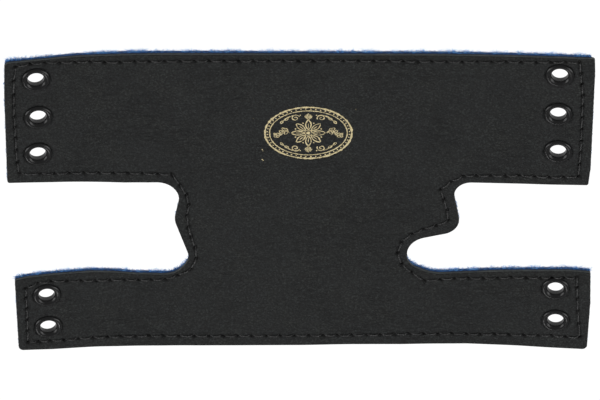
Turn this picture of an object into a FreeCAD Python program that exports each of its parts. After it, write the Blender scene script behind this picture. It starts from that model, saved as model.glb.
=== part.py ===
"""Trumpet valve guard: a flat leather wrap with a felt lining, laced through ten eyelets.

Frame: +X along the length, +Y across the width, +Z out of the leather face.
The origin is in the lining's underside, at the middle of the centre panel.
The guard lies flat with its four tabs curling up slightly, as it leaves the shop.
Each tab bends at three lines (an axis along Y, in the lining's underside), so the
leather and the lining are each built as a centre panel and three strips per tab.
All lengths are millimetres.
"""
import FreeCAD, Part
import Sketcher
import math
import os

V = FreeCAD.Vector
os.makedirs("parts", exist_ok=True)
doc = FreeCAD.newDocument("valve_guard")

# ------------------------------------------------------------------ spreadsheet
sheet = doc.addObject("Spreadsheet::Sheet", "Dims")
_row = [0]


def cell(alias, value, note=""):
    _row[0] += 1
    r = _row[0]
    sheet.set("A%d" % r, alias)
    sheet.set("B%d" % r, repr(float(value)))
    if note:
        sheet.set("C%d" % r, note)
    sheet.setAlias("B%d" % r, alias)
    return alias


cell("leather_thick", 1.15, "cowhide, outer layer")
cell("lining_thick", 1.05, "felt, inner layer")
cell("hinge_first", 34.5, "first bend line, from the middle")
cell("hinge_second", 45.0, "second bend line")
cell("hinge_third", 55.5, "third bend line")
cell("strip_relief", 0.1, "half of the gap at a bend line")
cell("slot_line", -17.0, "a line through both slots, which parts upper from lower tabs")
cell("far_reach", 90.0, "a length past every edge of the guard")
cell("curl_left_inner", 1.0, "degrees, absolute")
cell("curl_left_middle", 3.0)
cell("curl_left_end", 7.0)
cell("curl_right_inner", 1.0)
cell("curl_right_middle", 1.6)
cell("curl_right_end", 2.6)
cell("eyelet_hole_radius", 2.75, "hole cut in leather and lining")
cell("eyelet_barrel_radius", 2.70)
cell("eyelet_throat_radius", 2.12)
cell("eyelet_flange_radius", 3.78)
cell("eyelet_crown_radius", 3.05, "where the domed flange is highest")
cell("eyelet_crown_height", 0.62, "above the flange's underside")
cell("eyelet_mouth_depth", 0.40, "the funnel's foot, below the flange's underside")
cell("eyelet_roll_radius", 3.30)
cell("eyelet_roll_start", 0.85, "height at which the clinched end starts to flare")
cell("eyelet_roll_low", -0.02, "lowest point of the clinched end")
cell("press_depth", 0.20, "how far the flange is pressed into the leather")
cell("washer_outer_radius", 3.85)
cell("washer_inner_radius", 2.75)
cell("washer_thick", 0.30)
cell("washer_seat_radius", 3.95, "also the pressed seat round the flange")
cell("washer_lift", 0.30, "height of the washer's underside")
cell("thread_width", 0.62)
cell("thread_height", 0.20)
cell("thread_end_gap", 0.30)
cell("foil_thick", 0.04)
cell("emblem_mid_x", 2.2)
cell("emblem_mid_y", 25.3)
cell("emblem_half_width", 11.4)
cell("emblem_half_height", 8.8)
cell("round_outer", 1.3, "corner radii of the outline")
cell("round_sharp", 0.6)
cell("round_left_slot", 6.0)
cell("round_left_deep", 5.5)
cell("round_right_mouth", 4.5)
cell("round_right_nose", 5.0)
cell("round_right_deep", 5.0)
cell("round_right_upper", 6.0)
cell("round_right_floor", 10.0)

# The outline, anticlockwise from the lower left corner: x, y and corner radius.
OUTLINE = [
    (-76.05, -49.10, "round_outer"),
    (-67.00, -49.70, None),
    (-50.00, -50.20, None),
    (-27.00, -50.30, None),
    (0.00, -50.15, None),
    (13.50, -49.85, None),
    (27.00, -49.80, None),
    (45.00, -49.40, None),
    (59.00, -49.75, None),
    (66.00, -50.05, None),
    (77.40, -50.35, "round_outer"),
    (77.87, -33.70, None),
    (77.60, -22.85, "round_sharp"),
    (71.60, -22.50, None),
    (59.00, -23.10, None),
    (52.00, -23.45, None),
    (43.00, -24.10, None),
    (35.50, -24.65, "round_right_floor"),
    (28.50, -21.25, "round_right_deep"),
    (28.50, -12.70, "round_right_upper"),
    (42.95, -8.95, "round_right_nose"),
    (39.95, 8.10, "round_right_mouth"),
    (66.00, 8.05, None),
    (76.15, 8.20, "round_sharp"),
    (76.60, 14.00, None),
    (76.86, 47.00, None),
    (76.65, 51.45, "round_sharp"),
    (40.00, 51.55, None),
    (0.00, 51.65, None),
    (-40.00, 51.80, None),
    (-62.00, 51.85, None),
    (-77.05, 51.50, "round_outer"),
    (-77.40, 40.00, None),
    (-77.45, 10.75, "round_sharp"),
    (-59.00, 9.22, None),
    (-46.50, 8.20, None),
    (-40.00, 8.05, None),
    (-30.70, 8.10, "round_left_slot"),
    (-33.35, -5.30, "round_left_slot"),
    (-29.15, -19.40, "round_left_deep"),
    (-33.50, -25.00, "round_left_slot"),
    (-43.90, -24.55, None),
    (-50.30, -23.65, None),
    (-56.00, -23.20, None),
    (-66.00, -23.15, None),
    (-72.95, -23.45, None),
    (-76.45, -24.05, "round_sharp"),
]
for i, (x, y, r) in enumerate(OUTLINE):
    cell("edge_x_%02d" % i, x)
    cell("edge_y_%02d" % i, y)

EYELETS = [
    ("upper_left_top", -69.06, 45.46, "upper_left"),
    ("upper_left_middle", -68.80, 32.63, "upper_left"),
    ("upper_left_bottom", -69.17, 20.00, "upper_left"),
    ("lower_left_top", -68.10, -29.97, "lower_left"),
    ("lower_left_bottom", -67.95, -41.45, "lower_left"),
    ("upper_right_top", 67.71, 45.78, "upper_right"),
    ("upper_right_middle", 67.61, 32.55, "upper_right"),
    ("upper_right_bottom", 67.90, 19.70, "upper_right"),
    ("lower_right_top", 68.45, -28.75, "lower_right"),
    ("lower_right_bottom", 68.74, -40.15, "lower_right"),
]
for name, x, y, tab in EYELETS:
    cell("at_x_" + name, x)
    cell("at_y_" + name, y)

# The needle holes of the lockstitch, clockwise from the upper left corner.
HOLES = [
    (-74.25, 50.32), (-70.5, 50.92), (-66.67, 50.92), (-62.78, 50.57), (-58.84, 50.37),
    (-54.8, 50.17), (-51, 49.82), (-46.95, 49.62), (-43.05, 49.72), (-39.25, 49.72),
    (-35.35, 49.72), (-31.35, 49.82), (-27.5, 49.72), (-23.65, 49.77), (-19.8, 49.82),
    (-15.95, 49.77), (-12.1, 49.82), (-8.25, 49.82), (-4.4, 49.87), (-0.5, 49.82),
    (3.4, 49.82), (7.3, 49.87), (11.2, 49.82), (15.1, 49.82), (19.05, 49.87),
    (23, 49.82), (26.8, 49.72), (30.5, 49.62), (34.25, 49.57), (38.1, 49.47),
    (42.1, 49.57), (46, 49.72), (49.85, 49.72), (53.6, 49.87), (57.5, 49.87),
    (61.4, 50.02), (65.2, 50.22), (69, 50.27), (72.75, 50.22), (73.15, 46.47),
    (73.55, 42.82), (73.9, 39.07), (73.9, 35.32), (73.9, 31.32), (73.85, 27.27),
    (73.85, 23.27), (73.8, 19.27), (73.65, 15.22), (73.5, 11.07), (69.55, 10.72),
    (65.75, 10.62), (61.85, 10.72), (57.9, 10.92), (54.15, 10.72), (50.25, 10.62),
    (46.5, 10.62), (43.15, 10.32), (39.85, 8.22), (37.15, 5.42), (38.1, 1.82),
    (39, -1.88), (39.4, -5.38), (36.1, -7.18), (32.75, -8.53), (29.65, -10.28),
    (27, -13.03), (26, -17.03), (27.1, -21.03), (29.85, -24.03), (33.25, -26.88),
    (37.4, -26.38), (41.25, -26.03), (45.1, -25.78), (49, -25.78), (52.75, -25.63),
    (56.5, -25.28), (60.4, -25.18), (64.15, -25.13), (67.35, -24.98), (70.55, -24.83),
    (74, -24.78), (74.15, -28.28), (74.4, -32.28), (74.65, -36.78), (75, -41.28),
    (75.4, -46.03), (71.45, -46.03), (67.8, -45.83), (64.15, -45.93), (60.35, -45.93),
    (56.25, -45.88), (52.35, -45.83), (48.5, -45.98), (44.75, -45.93), (40.9, -45.93),
    (37.15, -46.03), (33.3, -46.13), (29.3, -46.08), (25.4, -46.28), (21.55, -46.38),
    (17.7, -46.48), (13.85, -46.53), (10, -46.63), (6.15, -46.68), (2.3, -46.73),
    (-1.55, -46.78), (-5.4, -46.83), (-9.25, -46.83), (-13.1, -46.88), (-16.95, -46.88),
    (-20.8, -46.88), (-24.65, -46.88), (-28.6, -46.88), (-32.75, -46.88), (-36.85, -46.78),
    (-40.75, -46.68), (-44.5, -46.78), (-48.3, -46.68), (-52.1, -46.68), (-56.04, -46.78),
    (-60.03, -46.78), (-63.92, -46.83), (-67.65, -46.53), (-70.75, -46.53), (-73.6, -46.53),
    (-73.6, -42.43), (-73.6, -38.48), (-73.6, -34.48), (-73.7, -30.58), (-73.7, -27.03),
    (-70.45, -25.53), (-66.93, -25.18), (-62.63, -25.58), (-58.73, -25.93), (-55, -26.18),
    (-51, -26.18), (-47.1, -26.28), (-43.3, -26.53), (-39.9, -26.53), (-36.25, -26.38),
    (-32.85, -25.03), (-29.2, -22.88), (-27.65, -19.03), (-27.9, -15.03), (-28.9, -11.28),
    (-29.65, -7.78), (-30, -3.78), (-29.5, -0.03), (-30, 3.47), (-31.75, 6.97),
    (-33.75, 10.72), (-37.6, 10.97), (-41.75, 11.22), (-45.5, 11.37), (-49.4, 11.62),
    (-53.2, 11.82), (-57.18, 12.12), (-61.07, 12.42), (-64.96, 12.57), (-68.85, 13.02),
    (-74.25, 13.57), (-74.65, 17.47), (-74.9, 21.72), (-74.95, 25.92), (-74.95, 29.72),
    (-75.1, 33.22), (-75.05, 37.02), (-74.95, 40.72), (-74.85, 45.42),
]

doc.recompute()


def val(alias):
    v = sheet.get(alias)
    return float(getattr(v, "Value", v))


def check(objects):
    for o in objects:
        if "Invalid" in o.State or "Error" in o.State:
            raise RuntimeError("%s: %s" % (o.Name, o.State))


# ------------------------------------------------------------------ the two layers
def xy_plane(body):
    for f in body.Origin.OriginFeatures:
        if f.Role == "XY_Plane":
            return f
    raise RuntimeError("no XY plane")


def outline_sketch(body, name, z_expr):
    sk = body.newObject("Sketcher::SketchObject", name)
    sk.AttachmentSupport = [(xy_plane(body), "")]
    sk.MapMode = "FlatFace"
    if z_expr:
        sk.setExpression("AttachmentOffset.Base.z", z_expr)
    pts = [V(x, y, 0) for x, y, r in OUTLINE]
    n = len(pts)
    sk.addGeometry([Part.LineSegment(pts[i], pts[(i + 1) % n]) for i in range(n)], False)
    sk.addConstraint([Sketcher.Constraint("Coincident", i, 2, (i + 1) % n, 1) for i in range(n)])
    for i in range(n):
        a = sk.addConstraint(Sketcher.Constraint("DistanceX", -1, 1, i, 1, pts[i].x))
        sk.setExpression("Constraints[%d]" % a, "Dims.edge_x_%02d" % i)
        b = sk.addConstraint(Sketcher.Constraint("DistanceY", -1, 1, i, 1, pts[i].y))
        sk.setExpression("Constraints[%d]" % b, "Dims.edge_y_%02d" % i)
    return sk


def circles_sketch(body, name, radius_alias, z_expr=None):
    sk = body.newObject("Sketcher::SketchObject", name)
    sk.AttachmentSupport = [(xy_plane(body), "")]
    sk.MapMode = "FlatFace"
    if z_expr:
        sk.setExpression("AttachmentOffset.Base.z", z_expr)
    for i, (en, x, y, tab) in enumerate(EYELETS):
        sk.addGeometry(Part.Circle(V(x, y, 0), V(0, 0, 1), val(radius_alias)), False)
        for kind, value, expr in (("DistanceX", x, "Dims.at_x_" + en),
                                  ("DistanceY", y, "Dims.at_y_" + en)):
            c = sk.addConstraint(Sketcher.Constraint(kind, -1, 1, i, 3, value))
            sk.setExpression("Constraints[%d]" % c, expr)
        c = sk.addConstraint(Sketcher.Constraint("Radius", i, val(radius_alias)))
        sk.setExpression("Constraints[%d]" % c, "Dims." + radius_alias)
    return sk


def layer(label, z_expr, thick_alias):
    body = doc.addObject("PartDesign::Body", label)
    sk = outline_sketch(body, label + "_outline", z_expr)
    pad = body.newObject("PartDesign::Pad", label + "_pad")
    pad.Profile = sk
    pad.setExpression("Length", "Dims." + thick_alias)
    doc.recompute()
    check([sk, pad])
    last = pad
    for k, alias in enumerate(sorted(set(r for x, y, r in OUTLINE if r))):
        names = []
        for i, (x, y, r) in enumerate(OUTLINE):
            if r != alias:
                continue
            for j, e in enumerate(last.Shape.Edges):
                p, q = e.Vertexes[0].Point, e.Vertexes[-1].Point
                if (math.hypot(p.x - x, p.y - y) < 1e-3 and math.hypot(q.x - x, q.y - y) < 1e-3
                        and abs(p.z - q.z) > 0.5):
                    names.append("Edge%d" % (j + 1))
        fil = body.newObject("PartDesign::Fillet", "%s_round_%d" % (label, k))
        fil.Base = (last, names)
        fil.setExpression("Radius", "Dims." + alias)
        body.Tip = fil
        doc.recompute()
        check([fil])
        last = fil
    hs = circles_sketch(body, label + "_eyelet_holes", "eyelet_hole_radius")
    pocket = body.newObject("PartDesign::Pocket", label + "_hole_pocket")
    pocket.Profile = hs
    pocket.Type = "ThroughAll"
    pocket.Midplane = True
    body.Tip = pocket
    doc.recompute()
    check([hs, pocket])
    if pocket.Shape.Volume > last.Shape.Volume - 9 * math.pi * val("eyelet_hole_radius") ** 2 * val(thick_alias):
        raise RuntimeError("the eyelet holes did not cut")
    return body


leather_sheet = layer("leather_sheet", "Dims.lining_thick", "leather_thick")
lining_sheet = layer("lining_sheet", None, "lining_thick")



def seat(body, label, z_expr, depth_expr, up):
    """A shallow round recess at each eyelet, where it has pressed the layer in."""
    sk = circles_sketch(body, label + "_circles", "washer_seat_radius", z_expr)
    cut = body.newObject("PartDesign::Pocket", label)
    cut.Profile = sk
    cut.setExpression("Length", depth_expr)
    cut.Reversed = up
    before = body.Shape.Volume
    body.Tip = cut
    doc.recompute()
    check([sk, cut])
    gone = before - body.Shape.Volume
    want = (10 * math.pi * (val("washer_seat_radius") ** 2 - val("eyelet_hole_radius") ** 2) * cut.Length.Value)
    print(label, "removes", round(gone, 2), "expected", round(want, 2))
    if abs(gone - want) > 0.02 * want:
        raise RuntimeError(label + " did not cut")


# the washer and the clinched end sink into the felt, the flange into the leather
seat(lining_sheet, "lining_seat", None, "Dims.washer_lift + Dims.washer_thick", True)
seat(leather_sheet, "leather_seat", "Dims.leather_thick + Dims.lining_thick", "Dims.press_depth", False)

# ------------------------------------------------------------------ thread and foil
T = val("leather_thick") + val("lining_thick")


def stadium(p, q, w, z):
    """A flat face with round ends, from p to q, of width w."""
    d = (q - p)
    d.normalize()
    nrm = V(-d.y, d.x, 0) * (w / 2.0)
    e = d * (w / 2.0)
    a, b, c, g = p + nrm, q + nrm, q - nrm, p - nrm
    edges = [Part.LineSegment(a, b).toShape(), Part.Arc(b, q + e, c).toShape(),
             Part.LineSegment(c, g).toShape(), Part.Arc(g, p - e, a).toShape()]
    f = Part.Face(Part.Wire(edges))
    f.translate(V(0, 0, z))
    return f


stitch_faces = []
w = val("thread_width")
trim = val("thread_end_gap") + w / 2.0
for i in range(len(HOLES)):
    p = V(HOLES[i][0], HOLES[i][1], 0)
    q = V(HOLES[(i + 1) % len(HOLES)][0], HOLES[(i + 1) % len(HOLES)][1], 0)
    d = q - p
    L = d.Length
    d.normalize()
    stitch_faces.append(stadium(p + d * trim, q - d * trim, w, T))
print("stitches", len(stitch_faces))
stitch_lines = doc.addObject("Part::Feature", "stitch_lines")
stitch_lines.Shape = Part.Compound(stitch_faces)
stitches = doc.addObject("Part::Extrusion", "stitches")
stitches.Base = stitch_lines
stitches.DirMode = "Custom"
stitches.Dir = V(0, 0, 1)
stitches.Solid = True
stitches.setExpression("LengthFwd", "Dims.thread_height")
rings = []
for name, x, y, tab in EYELETS:
    cyl = doc.addObject("Part::Cylinder", "clear_" + name)
    cyl.setExpression("Radius", "Dims.washer_seat_radius")
    cyl.Height = 6
    cyl.setExpression("Placement.Base.x", "Dims.at_x_" + name)
    cyl.setExpression("Placement.Base.y", "Dims.at_y_" + name)
    rings.append(cyl)
ring_group = doc.addObject("Part::Compound", "clear_rings")
ring_group.Links = rings
seam_all = doc.addObject("Part::Cut", "seam_all")
seam_all.Base = stitches
seam_all.Tool = ring_group


def ellipse_ring(cx, cy, a, b, wide, z):
    o = Part.Face(Part.Wire([Part.Ellipse(V(cx, cy, z), a, b).toShape()]))
    i = Part.Face(Part.Wire([Part.Ellipse(V(cx, cy, z), a - wide, b - wide).toShape()]))
    return o.cut(i).Faces[0]


def petal(cx, cy, ang, r0, r1, half, z):
    c, s_ = math.cos(ang), math.sin(ang)

    def at(r, t):
        return V(cx + r * c - t * s_, cy + r * s_ + t * c, z)
    a, b = at(r0, 0), at(r1, 0)
    m = 0.5 * (r0 + r1)
    return Part.Face(Part.Wire([Part.Arc(a, at(m, half), b).toShape(), Part.Arc(b, at(m, -half), a).toShape()]))


ex, ey = val("emblem_mid_x"), val("emblem_mid_y")
ea, eb = val("emblem_half_width"), val("emblem_half_height")
foil_faces = [ellipse_ring(ex, ey, ea, eb, 0.38, T), ellipse_ring(ex, ey, ea - 1.2, eb - 1.2, 0.26, T)]
for k in range(8):
    foil_faces.append(petal(ex, ey, math.radians(45 * k + 22.5), 1.1, 4.6, 0.75, T))
foil_faces.append(Part.Face(Part.Wire([Part.Circle(V(ex, ey, T), V(0, 0, 1), 0.75).toShape()])))
for sgn in (-1, 1):
    foil_faces.append(petal(ex + sgn * 7.4, ey, 0.0, -1.6, 1.6, 0.8, T))
foil_lines = doc.addObject("Part::Feature", "foil_lines")
foil_lines.Shape = Part.Compound(foil_faces)
foil = doc.addObject("Part::Extrusion", "foil_emblem")
foil.Label = "foil_emblem"
foil.Base = foil_lines
foil.DirMode = "Custom"
foil.Dir = V(0, 0, 1)
foil.Solid = True
foil.setExpression("LengthFwd", "Dims.foil_thick")
doc.recompute()
check([stitches, foil])

# ------------------------------------------------------------------ strips of the tabs
H1, H2, H3 = val("hinge_first"), val("hinge_second"), val("hinge_third")


def turn(x, deg):
    """Rotation about the line x = const in the underside, the free end up for deg > 0."""
    sgn = 1.0 if x < 0 else -1.0
    return FreeCAD.Placement(V(0, 0, 0), FreeCAD.Rotation(V(0, 1, 0), sgn * deg), V(x, 0, 0))


PLACE = {}
for side, sx in (("left", -1), ("right", 1)):
    a1, a2, a3 = (val("curl_%s_%s" % (side, k)) for k in ("inner", "middle", "end"))
    p1 = turn(sx * H1, a1)
    p2 = p1.multiply(turn(sx * H2, a2 - a1))
    p3 = p2.multiply(turn(sx * H3, a3 - a2))
    PLACE[side] = (p1, p2, p3)
    print(side, "hinges", p1.multVec(V(sx * H1, 0, 0)), p2.multVec(V(sx * H2, 0, 0)), p3.multVec(V(sx * H3, 0, 0)))

SEGS = [("inner", "hinge_first", "hinge_second", 0), ("middle", "hinge_second", "hinge_third", 1),
        ("end", "hinge_third", None, 2)]


def cutter(name, xmin, xmax, ymin, ymax):
    b = doc.addObject("Part::Box", name)
    b.setExpression("Length", "(%s) - (%s)" % (xmax, xmin))
    b.setExpression("Width", "(%s) - (%s)" % (ymax, ymin))
    b.Height = 20
    b.setExpression("Placement.Base.x", xmin)
    b.setExpression("Placement.Base.y", ymin)
    b.Placement.Base.z = -5
    return b


parts = []


def piece(label, base, box, placement):
    c = doc.addObject("Part::Common", label)
    c.Label = label
    c.Base = base
    c.Tool = box
    c.Placement = placement
    parts.append(c)
    return c


centre_box = cutter("cut_center", "-Dims.hinge_first + Dims.strip_relief", "Dims.hinge_first - Dims.strip_relief",
                    "-Dims.far_reach", "Dims.far_reach")
LAYERS = (("leather", leather_sheet), ("lining", lining_sheet), ("seam", seam_all))
for lay, src in LAYERS:
    piece("%s_center_panel" % lay, src, centre_box, FreeCAD.Placement())
for side, sx in (("left", -1), ("right", 1)):
    for row, ylo, yhi in (("upper", "Dims.slot_line", "Dims.far_reach"), ("lower", "-Dims.far_reach", "Dims.slot_line")):
        for seg, h0, h1, k in SEGS:
            lo = "Dims.%s + Dims.strip_relief" % h0
            hi = ("Dims.%s - Dims.strip_relief" % h1) if h1 else "Dims.far_reach"
            if sx < 0:
                lo, hi = "-(%s)" % hi, "-(%s)" % lo
            box = cutter("cut_%s_%s_%s" % (row, side, seg), lo, hi, ylo, yhi)
            for lay, src in LAYERS:
                piece("%s_%s_%s_%s" % (lay, row, side, seg), src, box, PLACE[side][k])


# ------------------------------------------------------------------ eyelets and washers
def revolved(label, edges, placement):
    """A closed profile in the XZ plane, turned about Z."""
    body = doc.addObject("PartDesign::Body", label)
    body.Label = label
    sk = body.newObject("Sketcher::SketchObject", label + "_profile")
    for f in body.Origin.OriginFeatures:
        if f.Role == "XZ_Plane":
            sk.AttachmentSupport = [(f, "")]
    sk.MapMode = "FlatFace"
    sk.addGeometry(edges[0], False)
    sk.addConstraint(edges[1])
    for k, expr in edges[2]:
        sk.setExpression("Constraints[%d]" % k, expr)
    rev = body.newObject("PartDesign::Revolution", label + "_turn")
    rev.Profile = sk
    rev.ReferenceAxis = (sk, ["V_Axis"])
    rev.Angle = 360
    body.Placement = placement
    parts.append(body)
    return body


def eyelet_profile():
    """Domed flange on the leather, barrel through both layers, end rolled over the washer."""
    rt, rb, rf = val("eyelet_throat_radius"), val("eyelet_barrel_radius"), val("eyelet_flange_radius")
    rc, rr = val("eyelet_crown_radius"), val("eyelet_roll_radius")
    z0 = T - val("press_depth")
    zc = z0 + val("eyelet_crown_height")
    zm = z0 - val("eyelet_mouth_depth")
    zr, zl, zw = val("eyelet_roll_start"), val("eyelet_roll_low"), val("washer_lift")
    q = math.sqrt(0.5)
    rim, crown, mouth = V(rf, z0, 0), V(rc, zc, 0), V(rt, zm, 0)
    foot, lip = V(rt, zr, 0), V(rr, zw, 0)
    low = V(0.55 * rr + 0.45 * rt, zl, 0)
    outer = Part.Arc(rim, V(rc + (rf - rc) * q, z0 + (zc - z0) * q, 0), crown)
    inner = Part.Arc(crown, V(rc - (rc - rt) * q, zm + (zc - zm) * q, 0), mouth)
    flare = Part.Arc(foot, V(rt + 0.10 * (rr - rt), 0.35 * zr + 0.65 * zl + 0.06, 0), low)
    curl = Part.Arc(low, V(0.88 * rr + 0.12 * rt, 0.6 * zl + 0.4 * zw, 0), lip)
    geo = [outer, inner, Part.LineSegment(mouth, foot), flare, curl,
           Part.LineSegment(lip, V(rb, zw, 0)), Part.LineSegment(V(rb, zw, 0), V(rb, z0, 0)),
           Part.LineSegment(V(rb, z0, 0), rim)]
    C = Sketcher.Constraint
    # an arc may keep its ends the other way round, so each joint is looked up
    cons, expr = [], []
    for i in range(8):
        j = (i + 1) % 8
        shared = geo[i].EndPoint
        ends_i = 2 if (geo[i].EndPoint - shared).Length < 1e-9 else 1
        ends_j = 1 if (geo[j].StartPoint - shared).Length < 1e-6 else 2
        cons.append(C("Coincident", i, ends_i, j, ends_j))

    def dim(kind, g, pos, value, ex_):
        cons.append(C(kind, -1, 1, g, pos, value))
        expr.append((len(cons) - 1, ex_))
    top = "Dims.leather_thick + Dims.lining_thick - Dims.press_depth"
    dim("DistanceX", 2, 1, rt, "Dims.eyelet_throat_radius")
    dim("DistanceY", 2, 1, zm, top + " - Dims.eyelet_mouth_depth")
    dim("DistanceX", 2, 2, rt, "Dims.eyelet_throat_radius")
    dim("DistanceY", 2, 2, zr, "Dims.eyelet_roll_start")
    dim("DistanceX", 5, 1, rr, "Dims.eyelet_roll_radius")
    dim("DistanceY", 5, 1, zw, "Dims.washer_lift")
    dim("DistanceX", 6, 1, rb, "Dims.eyelet_barrel_radius")
    dim("DistanceY", 6, 1, zw, "Dims.washer_lift")
    dim("DistanceX", 7, 1, rb, "Dims.eyelet_barrel_radius")
    dim("DistanceY", 7, 1, z0, top)
    dim("DistanceX", 7, 2, rf, "Dims.eyelet_flange_radius")
    dim("DistanceY", 7, 2, z0, top)
    return geo, cons, expr


def washer_profile():
    ri, ro = val("washer_inner_radius"), val("washer_outer_radius")
    z0 = val("washer_lift")
    z1 = z0 + val("washer_thick")
    p = [V(ri, z0, 0), V(ro, z0, 0), V(ro, z1, 0), V(ri, z1, 0)]
    geo = [Part.LineSegment(p[i], p[(i + 1) % 4]) for i in range(4)]
    C = Sketcher.Constraint
    cons = [C("Coincident", i, 2, (i + 1) % 4, 1) for i in range(4)]
    cons += [C("Horizontal", 0), C("Vertical", 1), C("Horizontal", 2), C("Vertical", 3)]
    expr = []
    for kind, g, pos, value, ex_ in (("DistanceX", 0, 1, ri, "Dims.washer_inner_radius"),
                                     ("DistanceY", 0, 1, z0, "Dims.washer_lift"),
                                     ("DistanceX", 0, 2, ro, "Dims.washer_outer_radius"),
                                     ("DistanceY", 1, 2, z1, "Dims.washer_lift + Dims.washer_thick")):
        cons.append(C(kind, -1, 1, g, pos, value))
        expr.append((len(cons) - 1, ex_))
    return geo, cons, expr


for name, x, y, tab in EYELETS:
    side = tab.split("_")[1]
    here = PLACE[side][2].multiply(FreeCAD.Placement(V(val("at_x_" + name), val("at_y_" + name), 0),
                                                      FreeCAD.Rotation()))
    revolved("eyelet_" + name, eyelet_profile(), here)

# one washer master; the washers of a tab are a group of separate solids
for tab in ("upper_left", "lower_left", "upper_right", "lower_right"):
    side = tab.split("_")[1]
    members = []
    for name, x, y, t_ in EYELETS:
        if t_ != tab:
            continue
        here = PLACE[side][2].multiply(FreeCAD.Placement(V(val("at_x_" + name), val("at_y_" + name), 0),
                                                          FreeCAD.Rotation()))
        members.append(revolved("washer_" + name, washer_profile(), here))
        parts.pop()
    grp = doc.addObject("Part::Compound", "washers_" + tab)
    grp.Label = "washers_" + tab
    grp.Links = members
    parts.append(grp)

parts.append(foil)
doc.recompute()
check(doc.Objects)

total = 0.0
for o in parts:
    s_ = o.Shape
    if s_.isNull() or not s_.isValid() or not s_.Solids:
        raise RuntimeError("bad shape: " + o.Label)
    o.Shape.exportStep(os.path.join("parts", o.Label + ".step"))
    total += s_.Volume
    bb = s_.BoundBox
    print("%-34s solids %3d vol %8.1f  x %.2f..%.2f y %.2f..%.2f z %.3f..%.3f" % (
        o.Label, len(s_.Solids), s_.Volume, bb.XMin, bb.XMax, bb.YMin, bb.YMax, bb.ZMin, bb.ZMax))
print("nodes", len(parts), "volume", round(total, 1))
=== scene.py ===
"""A laced leather guard for a trumpet's valve block: black leather on a blue felt lining, lockstitched round its edge, with ten enamelled eyelets.

The sheets are drawn flat, in millimetres, and then curled as the CAD tabs are, so every strip of them lies on its CAD solid.
"""
import math

import bpy
import numpy as np
from mathutils import Matrix, Vector
from mathutils.geometry import delaunay_2d_cdt
from mathutils.kdtree import KDTree


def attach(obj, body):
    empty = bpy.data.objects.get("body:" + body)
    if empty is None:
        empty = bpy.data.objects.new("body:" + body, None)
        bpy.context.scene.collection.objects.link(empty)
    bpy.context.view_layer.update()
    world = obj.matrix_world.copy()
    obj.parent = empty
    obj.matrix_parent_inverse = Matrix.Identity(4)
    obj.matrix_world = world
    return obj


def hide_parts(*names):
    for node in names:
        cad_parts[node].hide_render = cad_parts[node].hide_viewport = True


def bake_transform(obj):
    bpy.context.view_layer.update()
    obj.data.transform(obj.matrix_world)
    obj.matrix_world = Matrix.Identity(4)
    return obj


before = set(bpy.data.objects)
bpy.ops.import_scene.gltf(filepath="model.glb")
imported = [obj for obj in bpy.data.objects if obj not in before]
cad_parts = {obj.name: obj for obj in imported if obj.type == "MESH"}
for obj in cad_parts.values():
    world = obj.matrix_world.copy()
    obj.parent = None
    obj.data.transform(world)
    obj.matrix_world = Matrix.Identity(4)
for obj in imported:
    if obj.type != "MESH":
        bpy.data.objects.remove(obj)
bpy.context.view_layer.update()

MM = 0.001
LINING = 1.05  # felt thickness
TOP = 2.20  # leather face
SLOT_Y = -17.0  # a line through both slots
CUTS = (29.5, 39.75, 50.25)  # where the sheets are parted, each side
ZONES = ((30.0, 39.0), (39.75, 50.25), (50.25, 60.75))  # where each bend is spread
CURL = {-1: (1.0, 2.0, 4.0), 1: (1.0, 0.6, 1.0)}  # degrees that each bend adds at rest
PARTS = ("inner", "middle", "end")

R_OUT, R_SHARP, R_LS, R_LD = 1.3, 0.6, 6.0, 5.5
OUTLINE = [
    (-76.05, -49.10, R_OUT), (-67.00, -49.70, 0), (-50.00, -50.20, 0), (-27.00, -50.30, 0),
    (0.00, -50.15, 0), (13.50, -49.85, 0), (27.00, -49.80, 0), (45.00, -49.40, 0),
    (59.00, -49.75, 0), (66.00, -50.05, 0), (77.40, -50.35, R_OUT), (77.87, -33.70, 0),
    (77.60, -22.85, R_SHARP), (71.60, -22.50, 0), (59.00, -23.10, 0), (52.00, -23.45, 0),
    (43.00, -24.10, 0), (35.50, -24.65, 10.0), (28.50, -21.25, 5.0), (28.50, -12.70, 6.0),
    (42.95, -8.95, 5.0), (39.95, 8.10, 4.5), (66.00, 8.05, 0), (76.15, 8.20, R_SHARP),
    (76.60, 14.00, 0), (76.86, 47.00, 0), (76.65, 51.45, R_SHARP), (40.00, 51.55, 0),
    (0.00, 51.65, 0), (-40.00, 51.80, 0), (-62.00, 51.85, 0), (-77.05, 51.50, R_OUT),
    (-77.40, 40.00, 0), (-77.45, 10.75, R_SHARP), (-59.00, 9.22, 0), (-46.50, 8.20, 0),
    (-40.00, 8.05, 0), (-30.70, 8.10, R_LS), (-33.35, -5.30, R_LS), (-29.15, -19.40, R_LD),
    (-33.50, -25.00, R_LS), (-43.90, -24.55, 0), (-50.30, -23.65, 0), (-56.00, -23.20, 0),
    (-66.00, -23.15, 0), (-72.95, -23.45, 0), (-76.45, -24.05, R_SHARP),
]
EYELETS = np.array([
    (-69.06, 45.46), (-68.80, 32.63), (-69.17, 20.00), (-68.10, -29.97), (-67.95, -41.45),
    (67.71, 45.78), (67.61, 32.55), (67.90, 19.70), (68.45, -28.75), (68.74, -40.15),
])
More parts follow.
